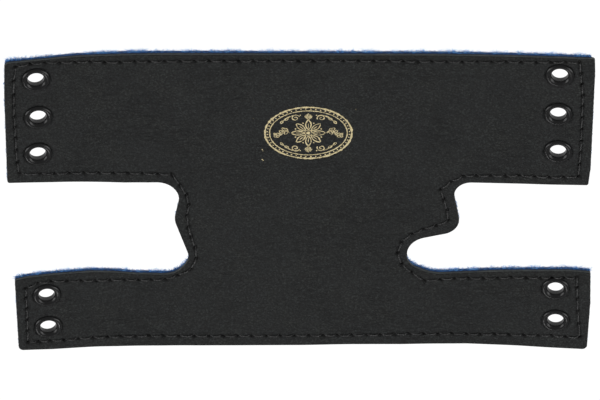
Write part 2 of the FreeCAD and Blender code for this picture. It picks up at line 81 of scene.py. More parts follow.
HOLES = [
    (-74.25, 50.32), (-70.5, 50.92), (-66.67, 50.92), (-62.78, 50.57), (-58.84, 50.37),
    (-54.8, 50.17), (-51, 49.82), (-46.95, 49.62), (-43.05, 49.72), (-39.25, 49.72),
    (-35.35, 49.72), (-31.35, 49.82), (-27.5, 49.72), (-23.65, 49.77), (-19.8, 49.82),
    (-15.95, 49.77), (-12.1, 49.82), (-8.25, 49.82), (-4.4, 49.87), (-0.5, 49.82),
    (3.4, 49.82), (7.3, 49.87), (11.2, 49.82), (15.1, 49.82), (19.05, 49.87),
    (23, 49.82), (26.8, 49.72), (30.5, 49.62), (34.25, 49.57), (38.1, 49.47),
    (42.1, 49.57), (46, 49.72), (49.85, 49.72), (53.6, 49.87), (57.5, 49.87),
    (61.4, 50.02), (65.2, 50.22), (69, 50.27), (72.75, 50.22), (73.15, 46.47),
    (73.55, 42.82), (73.9, 39.07), (73.9, 35.32), (73.9, 31.32), (73.85, 27.27),
    (73.85, 23.27), (73.8, 19.27), (73.65, 15.22), (73.5, 11.07), (69.55, 10.72),
    (65.75, 10.62), (61.85, 10.72), (57.9, 10.92), (54.15, 10.72), (50.25, 10.62),
    (46.5, 10.62), (43.15, 10.32), (39.85, 8.22), (37.15, 5.42), (38.1, 1.82),
    (39, -1.88), (39.4, -5.38), (36.1, -7.18), (32.75, -8.53), (29.65, -10.28),
    (27, -13.03), (26, -17.03), (27.1, -21.03), (29.85, -24.03), (33.25, -26.88),
    (37.4, -26.38), (41.25, -26.03), (45.1, -25.78), (49, -25.78), (52.75, -25.63),
    (56.5, -25.28), (60.4, -25.18), (64.15, -25.13), (67.35, -24.98), (70.55, -24.83),
    (74, -24.78), (74.15, -28.28), (74.4, -32.28), (74.65, -36.78), (75, -41.28),
    (75.4, -46.03), (71.45, -46.03), (67.8, -45.83), (64.15, -45.93), (60.35, -45.93),
    (56.25, -45.88), (52.35, -45.83), (48.5, -45.98), (44.75, -45.93), (40.9, -45.93),
    (37.15, -46.03), (33.3, -46.13), (29.3, -46.08), (25.4, -46.28), (21.55, -46.38),
    (17.7, -46.48), (13.85, -46.53), (10, -46.63), (6.15, -46.68), (2.3, -46.73),
    (-1.55, -46.78), (-5.4, -46.83), (-9.25, -46.83), (-13.1, -46.88), (-16.95, -46.88),
    (-20.8, -46.88), (-24.65, -46.88), (-28.6, -46.88), (-32.75, -46.88), (-36.85, -46.78),
    (-40.75, -46.68), (-44.5, -46.78), (-48.3, -46.68), (-52.1, -46.68), (-56.04, -46.78),
    (-60.03, -46.78), (-63.92, -46.83), (-67.65, -46.53), (-70.75, -46.53), (-73.6, -46.53),
    (-73.6, -42.43), (-73.6, -38.48), (-73.6, -34.48), (-73.7, -30.58), (-73.7, -27.03),
    (-70.45, -25.53), (-66.93, -25.18), (-62.63, -25.58), (-58.73, -25.93), (-55, -26.18),
    (-51, -26.18), (-47.1, -26.28), (-43.3, -26.53), (-39.9, -26.53), (-36.25, -26.38),
    (-32.85, -25.03), (-29.2, -22.88), (-27.65, -19.03), (-27.9, -15.03), (-28.9, -11.28),
    (-29.65, -7.78), (-30, -3.78), (-29.5, -0.03), (-30, 3.47), (-31.75, 6.97),
    (-33.75, 10.72), (-37.6, 10.97), (-41.75, 11.22), (-45.5, 11.37), (-49.4, 11.62),
    (-53.2, 11.82), (-57.18, 12.12), (-61.07, 12.42), (-64.96, 12.57), (-68.85, 13.02),
    (-74.25, 13.57), (-74.65, 17.47), (-74.9, 21.72), (-74.95, 25.92), (-74.95, 29.72),
    (-75.1, 33.22), (-75.05, 37.02), (-74.95, 40.72), (-74.85, 45.42),
]
HOLES = np.array(HOLES, float)


def smooth(t):
    t = np.clip(t, 0, 1)
    return t * t * (3 - 2 * t)


def waves(x, y, length, n, seed):
    """A smooth random field about 1 high, from n plane waves of about that length in mm."""
    r = np.random.default_rng(seed)
    out = 0
    for _ in range(n):
        a, k = r.uniform(0, 2 * math.pi), 2 * math.pi / (length * r.uniform(0.7, 1.5))
        out = out + np.sin(k * (x * math.cos(a) + y * math.sin(a)) + r.uniform(0, 6.28))
    return out / math.sqrt(n)


# ---------------------------------------------------------------- the curl at rest

_S = np.linspace(0, 100, 4001)
_TABLE = {}
for _side, _turns in CURL.items():
    _a = sum(
        math.radians(t) * smooth((_S - lo) / (hi - lo)) for t, (lo, hi) in zip(_turns, ZONES)
    )
    _step = _S[1] - _S[0]
    _mid = (_a[1:] + _a[:-1]) / 2
    _TABLE[_side] = (
        _a,
        np.concatenate([[0], np.cumsum(np.cos(_mid))]) * _step,
        np.concatenate([[0], np.cumsum(np.sin(_mid))]) * _step,
    )


def curl(p):
    """Flat points (x, y, height) in mm as they lie at rest, in mm."""
    p = np.asarray(p, float).reshape(-1, 3)
    out = np.empty_like(p)
    for side, (a, cx, cz) in _TABLE.items():
        m = (p[:, 0] < 0) if side < 0 else (p[:, 0] >= 0)
        s = np.abs(p[m, 0])
        t = p[m, 2]
        ang, x, z = (np.interp(s, _S, v) for v in (a, cx, cz))
        out[m] = np.stack(
            [side * (x - t * np.sin(ang)), p[m, 1], z + t * np.cos(ang)], axis=1
        )
    return out


# ---------------------------------------------------------------- the flat pattern


def rounded(outline, step):
    pts, n = [], len(outline)
    for i, (x, y, r) in enumerate(outline):
        p = np.array((x, y), float)
        if not r:
            pts.append(p)
            continue
        u, v = (np.array(outline[j % n][:2]) - p for j in (i - 1, i + 1))
        u, v = u / np.linalg.norm(u), v / np.linalg.norm(v)
        half = math.acos(np.clip(u @ v, -1, 1)) / 2
        c = p + (u + v) / np.linalg.norm(u + v) * r / math.sin(half)
        a, b = p + u * r / math.tan(half) - c, p + v * r / math.tan(half) - c
        a0 = math.atan2(a[1], a[0])
        turn = (math.atan2(b[1], b[0]) - a0 + math.pi) % (2 * math.pi) - math.pi
        k = max(3, math.ceil(abs(turn) * r / step))
        for j in range(k + 1):
            w = a0 + turn * j / k
            pts.append(c + r * np.array((math.cos(w), math.sin(w))))
    return np.array(pts)


def resample(line, step):
    out = []
    for a, b in zip(line, np.roll(line, -1, axis=0)):
        n = max(1, round(np.linalg.norm(b - a) / step))
        out += [a + (b - a) * j / n for j in range(n)]
    return np.array(out)


def crossings(line, axis, value):
    """Points where a closed line crosses x or y = value, and the edge each is on."""
    a, b = line, np.roll(line, -1, axis=0)
    e = np.nonzero((a[:, axis] - value) * (b[:, axis] - value) < 0)[0]
    t = ((value - a[e, axis]) / (b[e, axis] - a[e, axis]))[:, None]
    return e, a[e] + t * (b[e] - a[e])


def put_crossings(line, axis, value):
    """Moves or adds points so that the line has one exactly on x or y = value."""
    e, at = crossings(line, axis, value)
    line, extra = line.copy(), []
    for i, p in zip(e, at):
        near = [i, (i + 1) % len(line)]
        d = [np.linalg.norm(line[j] - p) for j in near]
        if min(d) < 0.2:
            line[near[int(np.argmin(d))]] = p
        else:
            extra.append((i, p))
    for i, p in sorted(extra, key=lambda q: -q[0]):
        line = np.insert(line, i + 1, p, axis=0)
    return line


def distance(p, a, b):
    """How far each point is from the nearest of the segments a to b, and that segment."""
    best, which = np.full(len(p), 1e9), np.zeros(len(p), int)
    d = b - a
    l2 = np.maximum((d * d).sum(1), 1e-12)
    for lo in range(0, len(p), 3000):
        q = p[lo : lo + 3000]
        wx, wy = q[:, None, 0] - a[None, :, 0], q[:, None, 1] - a[None, :, 1]
        t = np.clip((wx * d[:, 0] + wy * d[:, 1]) / l2, 0, 1)
        r = (wx - t * d[:, 0]) ** 2 + (wy - t * d[:, 1]) ** 2
        i = r.argmin(1)
        which[lo : lo + 3000] = i
        best[lo : lo + 3000] = np.sqrt(r[np.arange(len(q)), i])
    return best, which


def inside(p, line):
    a, b = line, np.roll(line, -1, axis=0)
    out = np.zeros(len(p), bool)
    for lo in range(0, len(p), 3000):
        q = p[lo : lo + 3000]
        y = q[:, 1][:, None]
        over = (a[:, 1] > y) != (b[:, 1] > y)
        with np.errstate(divide="ignore", invalid="ignore"):
            x = a[:, 0] + (y - a[:, 1]) / (b[:, 1] - a[:, 1]) * (b[:, 0] - a[:, 0])
        out[lo : lo + 3000] = (over & (q[:, 0][:, None] < x)).sum(1) % 2 == 1
    return out


edge_line = resample(rounded(OUTLINE, 0.45), 0.55)
for c in CUTS:
    for s in (-1, 1):
        edge_line = put_crossings(edge_line, 0, s * c)
e, at = crossings(edge_line, 1, SLOT_Y)
left_deep = at[np.argmin(np.abs(at[:, 0] + 30))]
edge_line = put_crossings(edge_line, 1, SLOT_Y)
EDGE_A, EDGE_B = edge_line, np.roll(edge_line, -1, axis=0)
_t = np.roll(edge_line, -1, axis=0) - np.roll(edge_line, 1, axis=0)
_t = _t / np.linalg.norm(_t, axis=1)[:, None]
OUTWARD = np.stack([_t[:, 1], -_t[:, 0]], axis=1)  # the outline runs anticlockwise
EDGE_MID, EDGE_OUT = edge_line, OUTWARD
SEAM_A, SEAM_B = HOLES, np.roll(HOLES, -1, axis=0)


def edge_distance(p):
    return distance(p, EDGE_A, EDGE_B)[0]


# The slant of each needle hole, as a leather needle cuts it.
_d = np.roll(HOLES, -1, axis=0) - np.roll(HOLES, 1, axis=0)
_w = np.arctan2(_d[:, 1], _d[:, 0]) - math.radians(33)
HOLE_U = np.stack([np.cos(_w), np.sin(_w)], axis=1)
HOLE_V = np.stack([-np.sin(_w), np.cos(_w)], axis=1)


def pricks(p, long=0.80, wide=0.40):
    """1 in the middle of a needle hole, falling to 0 round it."""
    tree = KDTree(len(HOLES))
    for i, h in enumerate(HOLES):
        tree.insert((h[0], h[1], 0), i)
    tree.balance()
    out = np.zeros(len(p))
    for k, q in enumerate(p):
        _, i, d = tree.find((q[0], q[1], 0))
        if d < 1.6:
            r = q - HOLES[i]
            u, v = r @ HOLE_U[i], r @ HOLE_V[i]
            out[k] = math.exp(-((u / long) ** 2) - (v / wide) ** 2)
    return out


def face_height(p, facts=None):
    """Height of the leather face over the table, flat, in mm."""
    x, y = p[:, 0], p[:, 1]
    d = facts["edge"] if facts else edge_distance(p)
    ds = facts["seam"] if facts else distance(p, SEAM_A, SEAM_B)[0]
    z = TOP + 0.020 * waves(x, y, 26, 7, 3) + 0.010 * waves(x, y, 9, 9, 4)
    r = 0.13
    z = z - (r - np.sqrt(np.maximum(r * r - np.clip(r - d, 0, r) ** 2, 0)))
    z = z - 0.13 * np.exp(-((ds / 0.34) ** 2)) + 0.030 * np.exp(-(((ds - 0.85) / 0.42) ** 2))
    z = z - 0.78 * (facts["prick"] if facts else pricks(p))
    for k, (cx, cy) in enumerate(EYELETS):
        rho = np.hypot(x - cx, y - cy)
        m = rho < 9
        a = np.arctan2(y[m] - cy, x[m] - cx)
        q = rho[m]
        dent = -0.2 * (1 - smooth((q - 3.84) / 0.42))
        roll = 0.030 * np.exp(-(((q - 4.75) / 0.55) ** 2))
        ripple = (
            0.5 * np.sin(5 * a + 1.7 * k) + 0.35 * np.sin(8 * a + 2.9 * k) + 0.3 * np.sin(3 * a + k)
        )
        z[m] += dent + roll + 0.030 * ripple * np.exp(-(((q - 4.9) / 1.3) ** 2)) * (q > 3.9)
    return z


def felt_height(p, facts):
    """Height of the felt's lower face, flat, in mm: pulled in along the seam and under the washers."""
    x, y = p[:, 0], p[:, 1]
    z = 0.02 + 0.02 * waves(x, y, 3.1, 12, 8) + 0.018 * waves(x, y, 1.9, 12, 9)
    z = z + 0.30 * np.exp(-((facts["seam"] / 0.75) ** 2)) + 0.28 * facts["prick"]
    z = z + 0.22 * np.exp(-((facts["edge"] / 0.35) ** 2))
    for cx, cy in EYELETS:
        rho = np.hypot(x - cx, y - cy)
        z = np.maximum(z, 0.62 * (1 - smooth((rho - 3.93) / 0.7)))
    return np.maximum(z, 0.0)


# ---------------------------------------------------------------- triangles over the pattern


class Thinner:
    """Keeps points that aren't too near the ones already kept."""

    def __init__(self, cell=0.9):
        self.cell, self.grid, self.points = cell, {}, []

    def near(self, x, y, r):
        c = self.cell
        for i in range(int(math.floor((x - r) / c)), int(math.floor((x + r) / c)) + 1):
            for j in range(int(math.floor((y - r) / c)), int(math.floor((y + r) / c)) + 1):
                for u, v in self.grid.get((i, j), ()):
                    if (u - x) ** 2 + (v - y) ** 2 < r * r:
                        return True
        return False

    def add(self, pts, r):
        for x, y in pts:
            if r == 0 or not self.near(x, y, r):
                self.points.append((x, y))
                key = (int(math.floor(x / self.cell)), int(math.floor(y / self.cell)))
                self.grid.setdefault(key, []).append((x, y))


def ring(cx, cy, r, n, phase=0.0):
    a = (np.arange(n) + phase) * 2 * math.pi / n
    return np.stack([cx + r * np.cos(a), cy + r * np.sin(a)], axis=1)


HOLE_R, HOLE_N = 2.75, 40
shared = [tuple(p) for p in edge_line]
bars = [(i, (i + 1) % len(edge_line)) for i in range(len(edge_line))]
for cx, cy in EYELETS:
    first = len(shared)
    shared += [tuple(p) for p in ring(cx, cy, HOLE_R, HOLE_N)]
    bars += [(first + i, first + (i + 1) % HOLE_N) for i in range(HOLE_N)]


def on_edge(p):
    return int(np.argmin(np.hypot(*(edge_line - p).T)))


cut_points = []


def add_cut(a, b):
    """A straight constraint between two points of the outline, with points along it."""
    i, j = on_edge(a), on_edge(b)
    a, b = edge_line[i], edge_line[j]
    n = max(1, round(np.linalg.norm(b - a) / 0.62))
    chain = [i]
    for k in range(1, n):
        chain.append(len(shared))
        p = a + (b - a) * k / n
        shared.append(tuple(p))
        cut_points.append(tuple(p))
    chain.append(j)
    bars.extend(zip(chain[:-1], chain[1:]))


for c in CUTS:
    for s in (-1, 1):
        on = edge_line[np.abs(edge_line[:, 0] - s * c) < 1e-6]
        on = on[np.argsort(on[:, 1])]
        for k in range(0, len(on) - 1):
            middle = (on[k] + on[k + 1]) / 2
            if inside(middle[None], edge_line)[0]:
                if s * c == -CUTS[0] and on[k][1] < SLOT_Y < on[k + 1][1]:
                    # the slot's bottom lies a little outside this cut, so the cut has a point on the slot's line
                    i, j = on_edge(on[k]), on_edge(on[k + 1])
                    low = max(2, round((SLOT_Y - on[k][1]) / 0.62))
                    high = max(2, round((on[k + 1][1] - SLOT_Y) / 0.62))
                    ys = list(on[k][1] + (SLOT_Y - on[k][1]) * np.arange(1, low + 1) / low)
                    ys += list(SLOT_Y + (on[k + 1][1] - SLOT_Y) * np.arange(1, high) / high)
                    chain = [i]
                    for y in ys:
                        chain.append(len(shared))
                        if abs(y - SLOT_Y) < 1e-9:
                            knot = len(shared)
                        shared.append((s * c, y))
                        cut_points.append((s * c, y))
                    chain.append(j)
                    bars.extend(zip(chain[:-1], chain[1:]))
                    bars.append((knot, on_edge(left_deep)))
                else:
                    add_cut(on[k], on[k + 1])
NS = len(shared)


def triangles(points):
    """Delaunay triangles over the pattern, all anticlockwise. The first NS points are the shared ones."""
    v, _, f, ov, _, _ = delaunay_2d_cdt([Vector(p) for p in points], bars, [], 0, 1e-7)
    back = np.array([o[0] if o else -1 for o in ov])
    if (back < 0).any() or len(v) != len(points):
        raise RuntimeError("the triangulation added or merged points: %d of %d" % (len(v), len(points)))
    t = back[np.array([list(q) for q in f], int)]
    p = np.array(points)
    a, b, c = p[t[:, 0]], p[t[:, 1]], p[t[:, 2]]
    flip = (b[:, 0] - a[:, 0]) * (c[:, 1] - a[:, 1]) - (b[:, 1] - a[:, 1]) * (c[:, 0] - a[:, 0]) < 0
    t[flip] = t[flip][:, ::-1]
    m = (a + b + c) / 3
    keep = inside(m, edge_line)
    twice = np.abs((b[:, 0] - a[:, 0]) * (c[:, 1] - a[:, 1]) - (b[:, 1] - a[:, 1]) * (c[:, 0] - a[:, 0]))
    keep &= ~((t < len(edge_line)).all(1) & (twice < 2e-3))  # slivers along a straight run of the edge
    for cx, cy in EYELETS:
        keep &= np.hypot(m[:, 0] - cx, m[:, 1] - cy) > HOLE_R * math.cos(math.pi / HOLE_N) - 1e-3
    return t[keep], m[keep]


def fine_points():
    t = Thinner()
    t.add(shared, 0)
    jitter = np.random.default_rng(5)
    for d in (0.04, 0.09, 0.15):
        t.add(edge_line - OUTWARD * d, 0.05)
    rows = []
    for cx, cy in EYELETS:
        for r, n in ((3.35, 40), (3.86, 52), (4.02, 56), (4.18, 56), (4.36, 56), (4.62, 52), (5.0, 52), (5.6, 50), (6.3, 50)):
            rows.append(ring(cx, cy, r, n, 0.5 * (n % 3)))
    pts = np.concatenate(rows)
    pts = pts[inside(pts, edge_line)]
    pts = pts[edge_distance(pts) > 0.35]
    t.add(pts, 0.12)
    for i, h in enumerate(HOLES):
        a = np.arange(8) * math.pi / 4
        cloud = [h]
        for q in (0.20, 0.40):
            cloud += list(h + q * (np.cos(a)[:, None] * HOLE_U[i] * 1.5 + np.sin(a)[:, None] * HOLE_V[i] * 0.8))
        t.add(np.array(cloud), 0.07)
    for k, (a, b) in enumerate(zip(SEAM_A, SEAM_B)):
        along = (b - a) / np.linalg.norm(b - a)
        side = np.array((-along[1], along[0]))
        n = max(2, round(np.linalg.norm(b - a) / 0.5))
        for off in (0, -0.24, 0.24, -0.5, 0.5, -0.85, 0.85, -1.3, 1.3):
            pts = np.array([a + (b - a) * (j + 0.5 * (k % 2)) / n + side * off for j in range(n)])
            t.add(pts, 0.19)
    for d in (0.5, 0.85):
        t.add((edge_line - OUTWARD * d)[::1], 0.28)
    grid, pitch = [], 0.84
    for j, y in enumerate(np.arange(-52, 54, pitch * 0.87)):
        for x in np.arange(-79 + pitch * 0.5 * (j % 2), 80, pitch):
            grid.append((x, y))
    grid = np.array(grid) + jitter.normal(0, 0.05, (len(grid), 2))
    grid = grid[inside(grid, edge_line)]
    grid = grid[edge_distance(grid) > 0.5]
    t.add(grid, 0.52)
    pts = np.array(t.points)
    late = np.arange(len(pts)) >= NS
    ok = np.ones(len(pts), bool)
    ok[late] = inside(pts[late], edge_line) & (edge_distance(pts[late]) > 0.03)
    for cx, cy in EYELETS:
        ok &= ~late | (np.hypot(pts[:, 0] - cx, pts[:, 1] - cy) > HOLE_R + 0.1)
    for c in CUTS:  # nothing hugs a cut
        ok &= ~late | (np.abs(np.abs(pts[:, 0]) - c) > 0.10)
    return pts[ok]


def coarse_points():
    t = Thinner(3)
    t.add(shared, 0)
    grid = np.array([(x, y) for y in np.arange(-50, 52, 2.6) for x in np.arange(-78, 78, 2.6)])
    grid = grid[inside(grid, edge_line)]
    t.add(grid[edge_distance(grid) > 1.0], 1.0)
    pts = np.array(t.points)
    late = np.arange(len(pts)) >= NS
    ok = np.ones(len(pts), bool)
    for cx, cy in EYELETS:
        ok &= ~late | (np.hypot(pts[:, 0] - cx, pts[:, 1] - cy) > HOLE_R + 0.6)
    return pts[ok]


def zone(m):
    """Which piece a place belongs to: 0 the centre, or 1 to 12, a tab's inner, middle or end strip."""
    s = np.abs(m[:, 0])
    k = (s > CUTS[0]).astype(int) + (s > CUTS[1]) + (s > CUTS[2])
    tab = np.where(m[:, 0] < 0, 0, 2) + np.where(m[:, 1] > SLOT_Y, 0, 1)
    return np.where(k == 0, 0, 1 + tab * 3 + k - 1)


TABS = ("upper_left", "lower_left", "upper_right", "lower_right")
PIECES = ["center_panel"] + [f"{t}_{p}" for t in TABS for p in PARTS]


def mesh_of(name, verts, tris, quads, attrs, normals=None, smooth_all=True):
    """A mesh in metres, with point attributes."""
    me = bpy.data.meshes.new(name)
    tris = np.asarray(tris, np.int32).reshape(-1, 3)
    quads = np.asarray(quads, np.int32).reshape(-1, 4)
    me.vertices.add(len(verts))
    me.vertices.foreach_set("co", np.asarray(verts, np.float32).ravel())
    loops = np.concatenate([tris.ravel(), quads.ravel()])
    me.loops.add(len(loops))
    me.loops.foreach_set("vertex_index", loops)
    start = np.concatenate([np.arange(len(tris)) * 3, len(tris) * 3 + np.arange(len(quads)) * 4])
    me.polygons.add(len(tris) + len(quads))
    me.polygons.foreach_set("loop_start", start.astype(np.int32))
    me.update(calc_edges=True)
    for key, value in attrs.items():
        value = np.asarray(value, np.float32)
        kind = "FLOAT" if value.ndim == 1 else "FLOAT_VECTOR"
        a = me.attributes.new(key, kind, "POINT")
        a.data.foreach_set("value" if value.ndim == 1 else "vector", value.ravel())
    if smooth_all:
        me.shade_smooth()
    if normals is not None:
        me.normals_split_custom_set_from_vertices([tuple(n) for n in normals.astype(float)])
    o = bpy.data.objects.new(name, me)
    bpy.context.scene.collection.objects.link(o)
    return o


def settle(o, k):
    """Joins a centre piece to the root body; any other piece only has its world transform baked into its mesh."""
    if k == 0:
        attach(o, "root")
        return
    tab, part = TABS[(k - 1) // 3], (k - 1) % 3
    side = -1 if "left" in tab else 1
    lo, hi = ZONES[part]
    ends = curl([(side * lo, 0, 0), (side * hi, 0, 0)]) * MM
    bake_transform(o)


def face_normals(v, t):
    a, b, c = v[t[:, 0]], v[t[:, 1]], v[t[:, 2]]
    return np.cross(b - a, c - a)


WALL = 5  # faces up the cut edge


class Sheet:
    """A sheet with one detailed face and one plain one, joined by its cut edge. up is True where the detailed face is the upper one."""

    def __init__(self, name, fine, fine_t, coarse, coarse_t, fine_z, coarse_z, wall, up, attrs, warp=None):
        self.name, self.up = name, up
        nf, nc = len(fine), len(coarse)
        vf = np.column_stack([fine, fine_z])
        vc = np.column_stack([coarse, coarse_z])
        rows = []
        for k in range(1, WALL):
            w = k / WALL
            r = vf[:NS] * (1 - w) + vc[:NS] * w
            r[: len(edge_line), :2] += OUTWARD * wall(k)[:, None]
            rows.append(r)
        self.flat = np.concatenate([vf, vc] + rows)
        self.level = [np.arange(NS)] + [nf + nc + (k - 1) * NS + np.arange(NS) for k in range(1, WALL)]
        self.level.append(nf + np.arange(NS))
        self.fine_t = fine_t if up else fine_t[:, ::-1]
        self.coarse_t = (coarse_t[:, ::-1] if up else coarse_t) + nf
        if warp is not None:
            self.flat = warp(self.flat)
        self.world = curl(self.flat) * MM
        walls = self.walls(self.fine_t)
        n = np.zeros_like(self.world)
        for t in (self.fine_t, walls[:, :3], walls[:, [0, 2, 3]]):
            f = face_normals(self.world, t)
            for i in range(3):
                np.add.at(n, t[:, i], f)
        plain = np.zeros_like(n)
        f = face_normals(self.world, self.coarse_t)
        for i in range(3):
            np.add.at(plain, self.coarse_t[:, i], f)
        empty = np.linalg.norm(n, axis=1) < 1e-15
        n[empty] = plain[empty]
        size = np.linalg.norm(n, axis=1)[:, None]
        self.normals = np.where(size > 1e-15, n / np.maximum(size, 1e-15), 0)
        self.attrs = {}
        side = np.ones(len(self.flat))
        side[:nf] = attrs.pop("side")
        self.attrs["side"] = side
        for key, value in attrs.items():
            full = np.zeros((len(self.flat),) + value.shape[1:])
            full[:nf] = value
            self.attrs[key] = full
        level = np.zeros(len(self.flat))
        for k, ids in enumerate(self.level):
            level[ids] = k / WALL
        level[nf + NS : nf + nc] = 1
        self.attrs["level"] = level

    def walls(self, t):
        """Quads down from each open edge of these triangles."""
        e = np.concatenate([t[:, [0, 1]], t[:, [1, 2]], t[:, [2, 0]]])
        key = np.sort(e, axis=1)
        _, first, count = np.unique(key, axis=0, return_index=True, return_counts=True)
        e = e[first[count == 1]]
        if (e >= NS).any():
            raise RuntimeError("an open edge isn't on the pattern's lines")
        out = []
        for k in range(WALL):
            a, b = self.level[k], self.level[k + 1]
            out.append(np.stack([e[:, 1], e[:, 0], e[:, 0], e[:, 1]], axis=1))
            q = out[-1]
            out[-1] = np.stack([a[q[:, 0]], a[q[:, 1]], b[q[:, 2]], b[q[:, 3]]], axis=1)
        return np.concatenate(out)

    def build(self, zones_fine, zones_coarse, material, spans):
        made = []
        for k, piece in enumerate(PIECES):
            tf, tc = self.fine_t[zones_fine == k], self.coarse_t[zones_coarse == k]
            q = self.walls(tf)
            used = np.unique(np.concatenate([tf.ravel(), tc.ravel(), q.ravel()]))
            back = np.full(len(self.flat), -1)
            back[used] = np.arange(len(used))
            attrs = {"flat": self.flat[used], **{a: v[used] for a, v in self.attrs.items()}}
            o = mesh_of(
                f"{self.name}_{piece}_cut",
                self.world[used], back[np.concatenate([tf, tc])], back[q], attrs, self.normals[used],
            )
            o.data.materials.append(material)
            settle(o, k)
            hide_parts(f"{self.name}_{piece}")
            p = self.flat[used]
            a, b, c = (self.flat[tf[:, i], :2] for i in range(3))
            area = abs(np.cross(b - a, c - a)).sum() / 2 * MM * MM
            w, l = np.ptp(p[:, 0]) * MM, np.ptp(p[:, 1]) * MM
            spans.append((o, w, l, area))
            made.append(o)
        return made


fine = fine_points()
fine_t, fine_m = triangles(fine)
coarse = coarse_points()
coarse_t, coarse_m = triangles(coarse)
zones_fine, zones_coarse = zone(fine_m), zone(coarse_m)
facts = {
    "edge": edge_distance(fine),
    "seam": distance(fine, SEAM_A, SEAM_B)[0],
    "prick": pricks(fine),
}
facts["edge"][: len(edge_line)] = 0
_r = np.random.default_rng(31)
around = np.linspace(0, 1, len(edge_line), endpoint=False) * 2 * math.pi


def around_noise(seed, low, high, n=24):
    r = np.random.default_rng(seed)
    out = 0
    for _ in range(n):
        out = out + np.sin(around * r.integers(low, high) + r.uniform(0, 6.28))
    return out / math.sqrt(n)


near_eyelet = np.min([np.hypot(fine[:, 0] - x, fine[:, 1] - y) for x, y in EYELETS], axis=0)
leather_fine_z = face_height(fine, facts)
leather = Sheet(
    "leather", fine, fine_t, coarse, coarse_t, leather_fine_z, np.full(len(coarse), LINING),
    lambda k: 0.035 * around_noise(40 + k, 60, 500) + (0.03 if 0 < k < 4 else 0),
    True,
    {
        "side": np.clip(1 - facts["edge"] / 0.11, 0, 1),
        "prick": facts["prick"],
        # where the painted shadow beside the seam falls
        "seam_shade": np.exp(-((distance(fine - (0, 0.10), SEAM_A, SEAM_B)[0] / 0.30) ** 2)),
        "ring": np.exp(-(((near_eyelet - 4.4) / 0.9) ** 2)),
    },
)


def shy(out):
    """How far the felt is held back, in mm, under the edges that face the ends."""
    return 0.26 * smooth((np.abs(out[:, 0]) - 0.5) / 0.4)


def short_corner(p):
    """The felt stops short of the leather at the ends, and more at the upper right corner."""
    p = p.copy()
    for i in range(0, len(p), 4000):
        q = p[i : i + 4000, :2]
        gap = ((q[:, None, :] - EDGE_MID[None, :, :]) ** 2).sum(2)
        near = gap.argmin(1)
        w = shy(EDGE_OUT[near]) * smooth((1.6 - np.sqrt(gap.min(1))) / 1.2)
        p[i : i + 4000, :2] -= EDGE_OUT[near] * w[:, None]
    p[:, 1] -= 1.1 * smooth((p[:, 0] - 75.6) / 0.5) * smooth((p[:, 1] - 48.6) / 2.6)
    p[:, 0] -= 0.35 * smooth((p[:, 0] - 75.9) / 0.8) * smooth((p[:, 1] - 40) / 6)
    return p


felt_fine_z = felt_height(fine, facts)
felt_coarse_z = np.full(len(coarse), LINING - 0.004)
lining = Sheet(
    "lining", fine, fine_t, coarse, coarse_t, felt_fine_z, felt_coarse_z,
    lambda k: 0.06 * around_noise(60 + k, 80, 620) + (0.10 if 1 < k < 5 else 0.05),
    False,
    {
        "side": np.clip(1 - facts["edge"] / 0.3, 0, 1),
        "prick": facts["prick"],
        # where the felt is painted darker as shade along the seam
        "seam_shade": np.exp(-((facts["seam"] / 0.6) ** 2)),
        # on the felt this ring is painted darker as shade round each washer's edge
        "ring": np.exp(-(((near_eyelet - 4.2) / 0.5) ** 2)),
    },
    short_corner,
)


# ---------------------------------------------------------------- materials


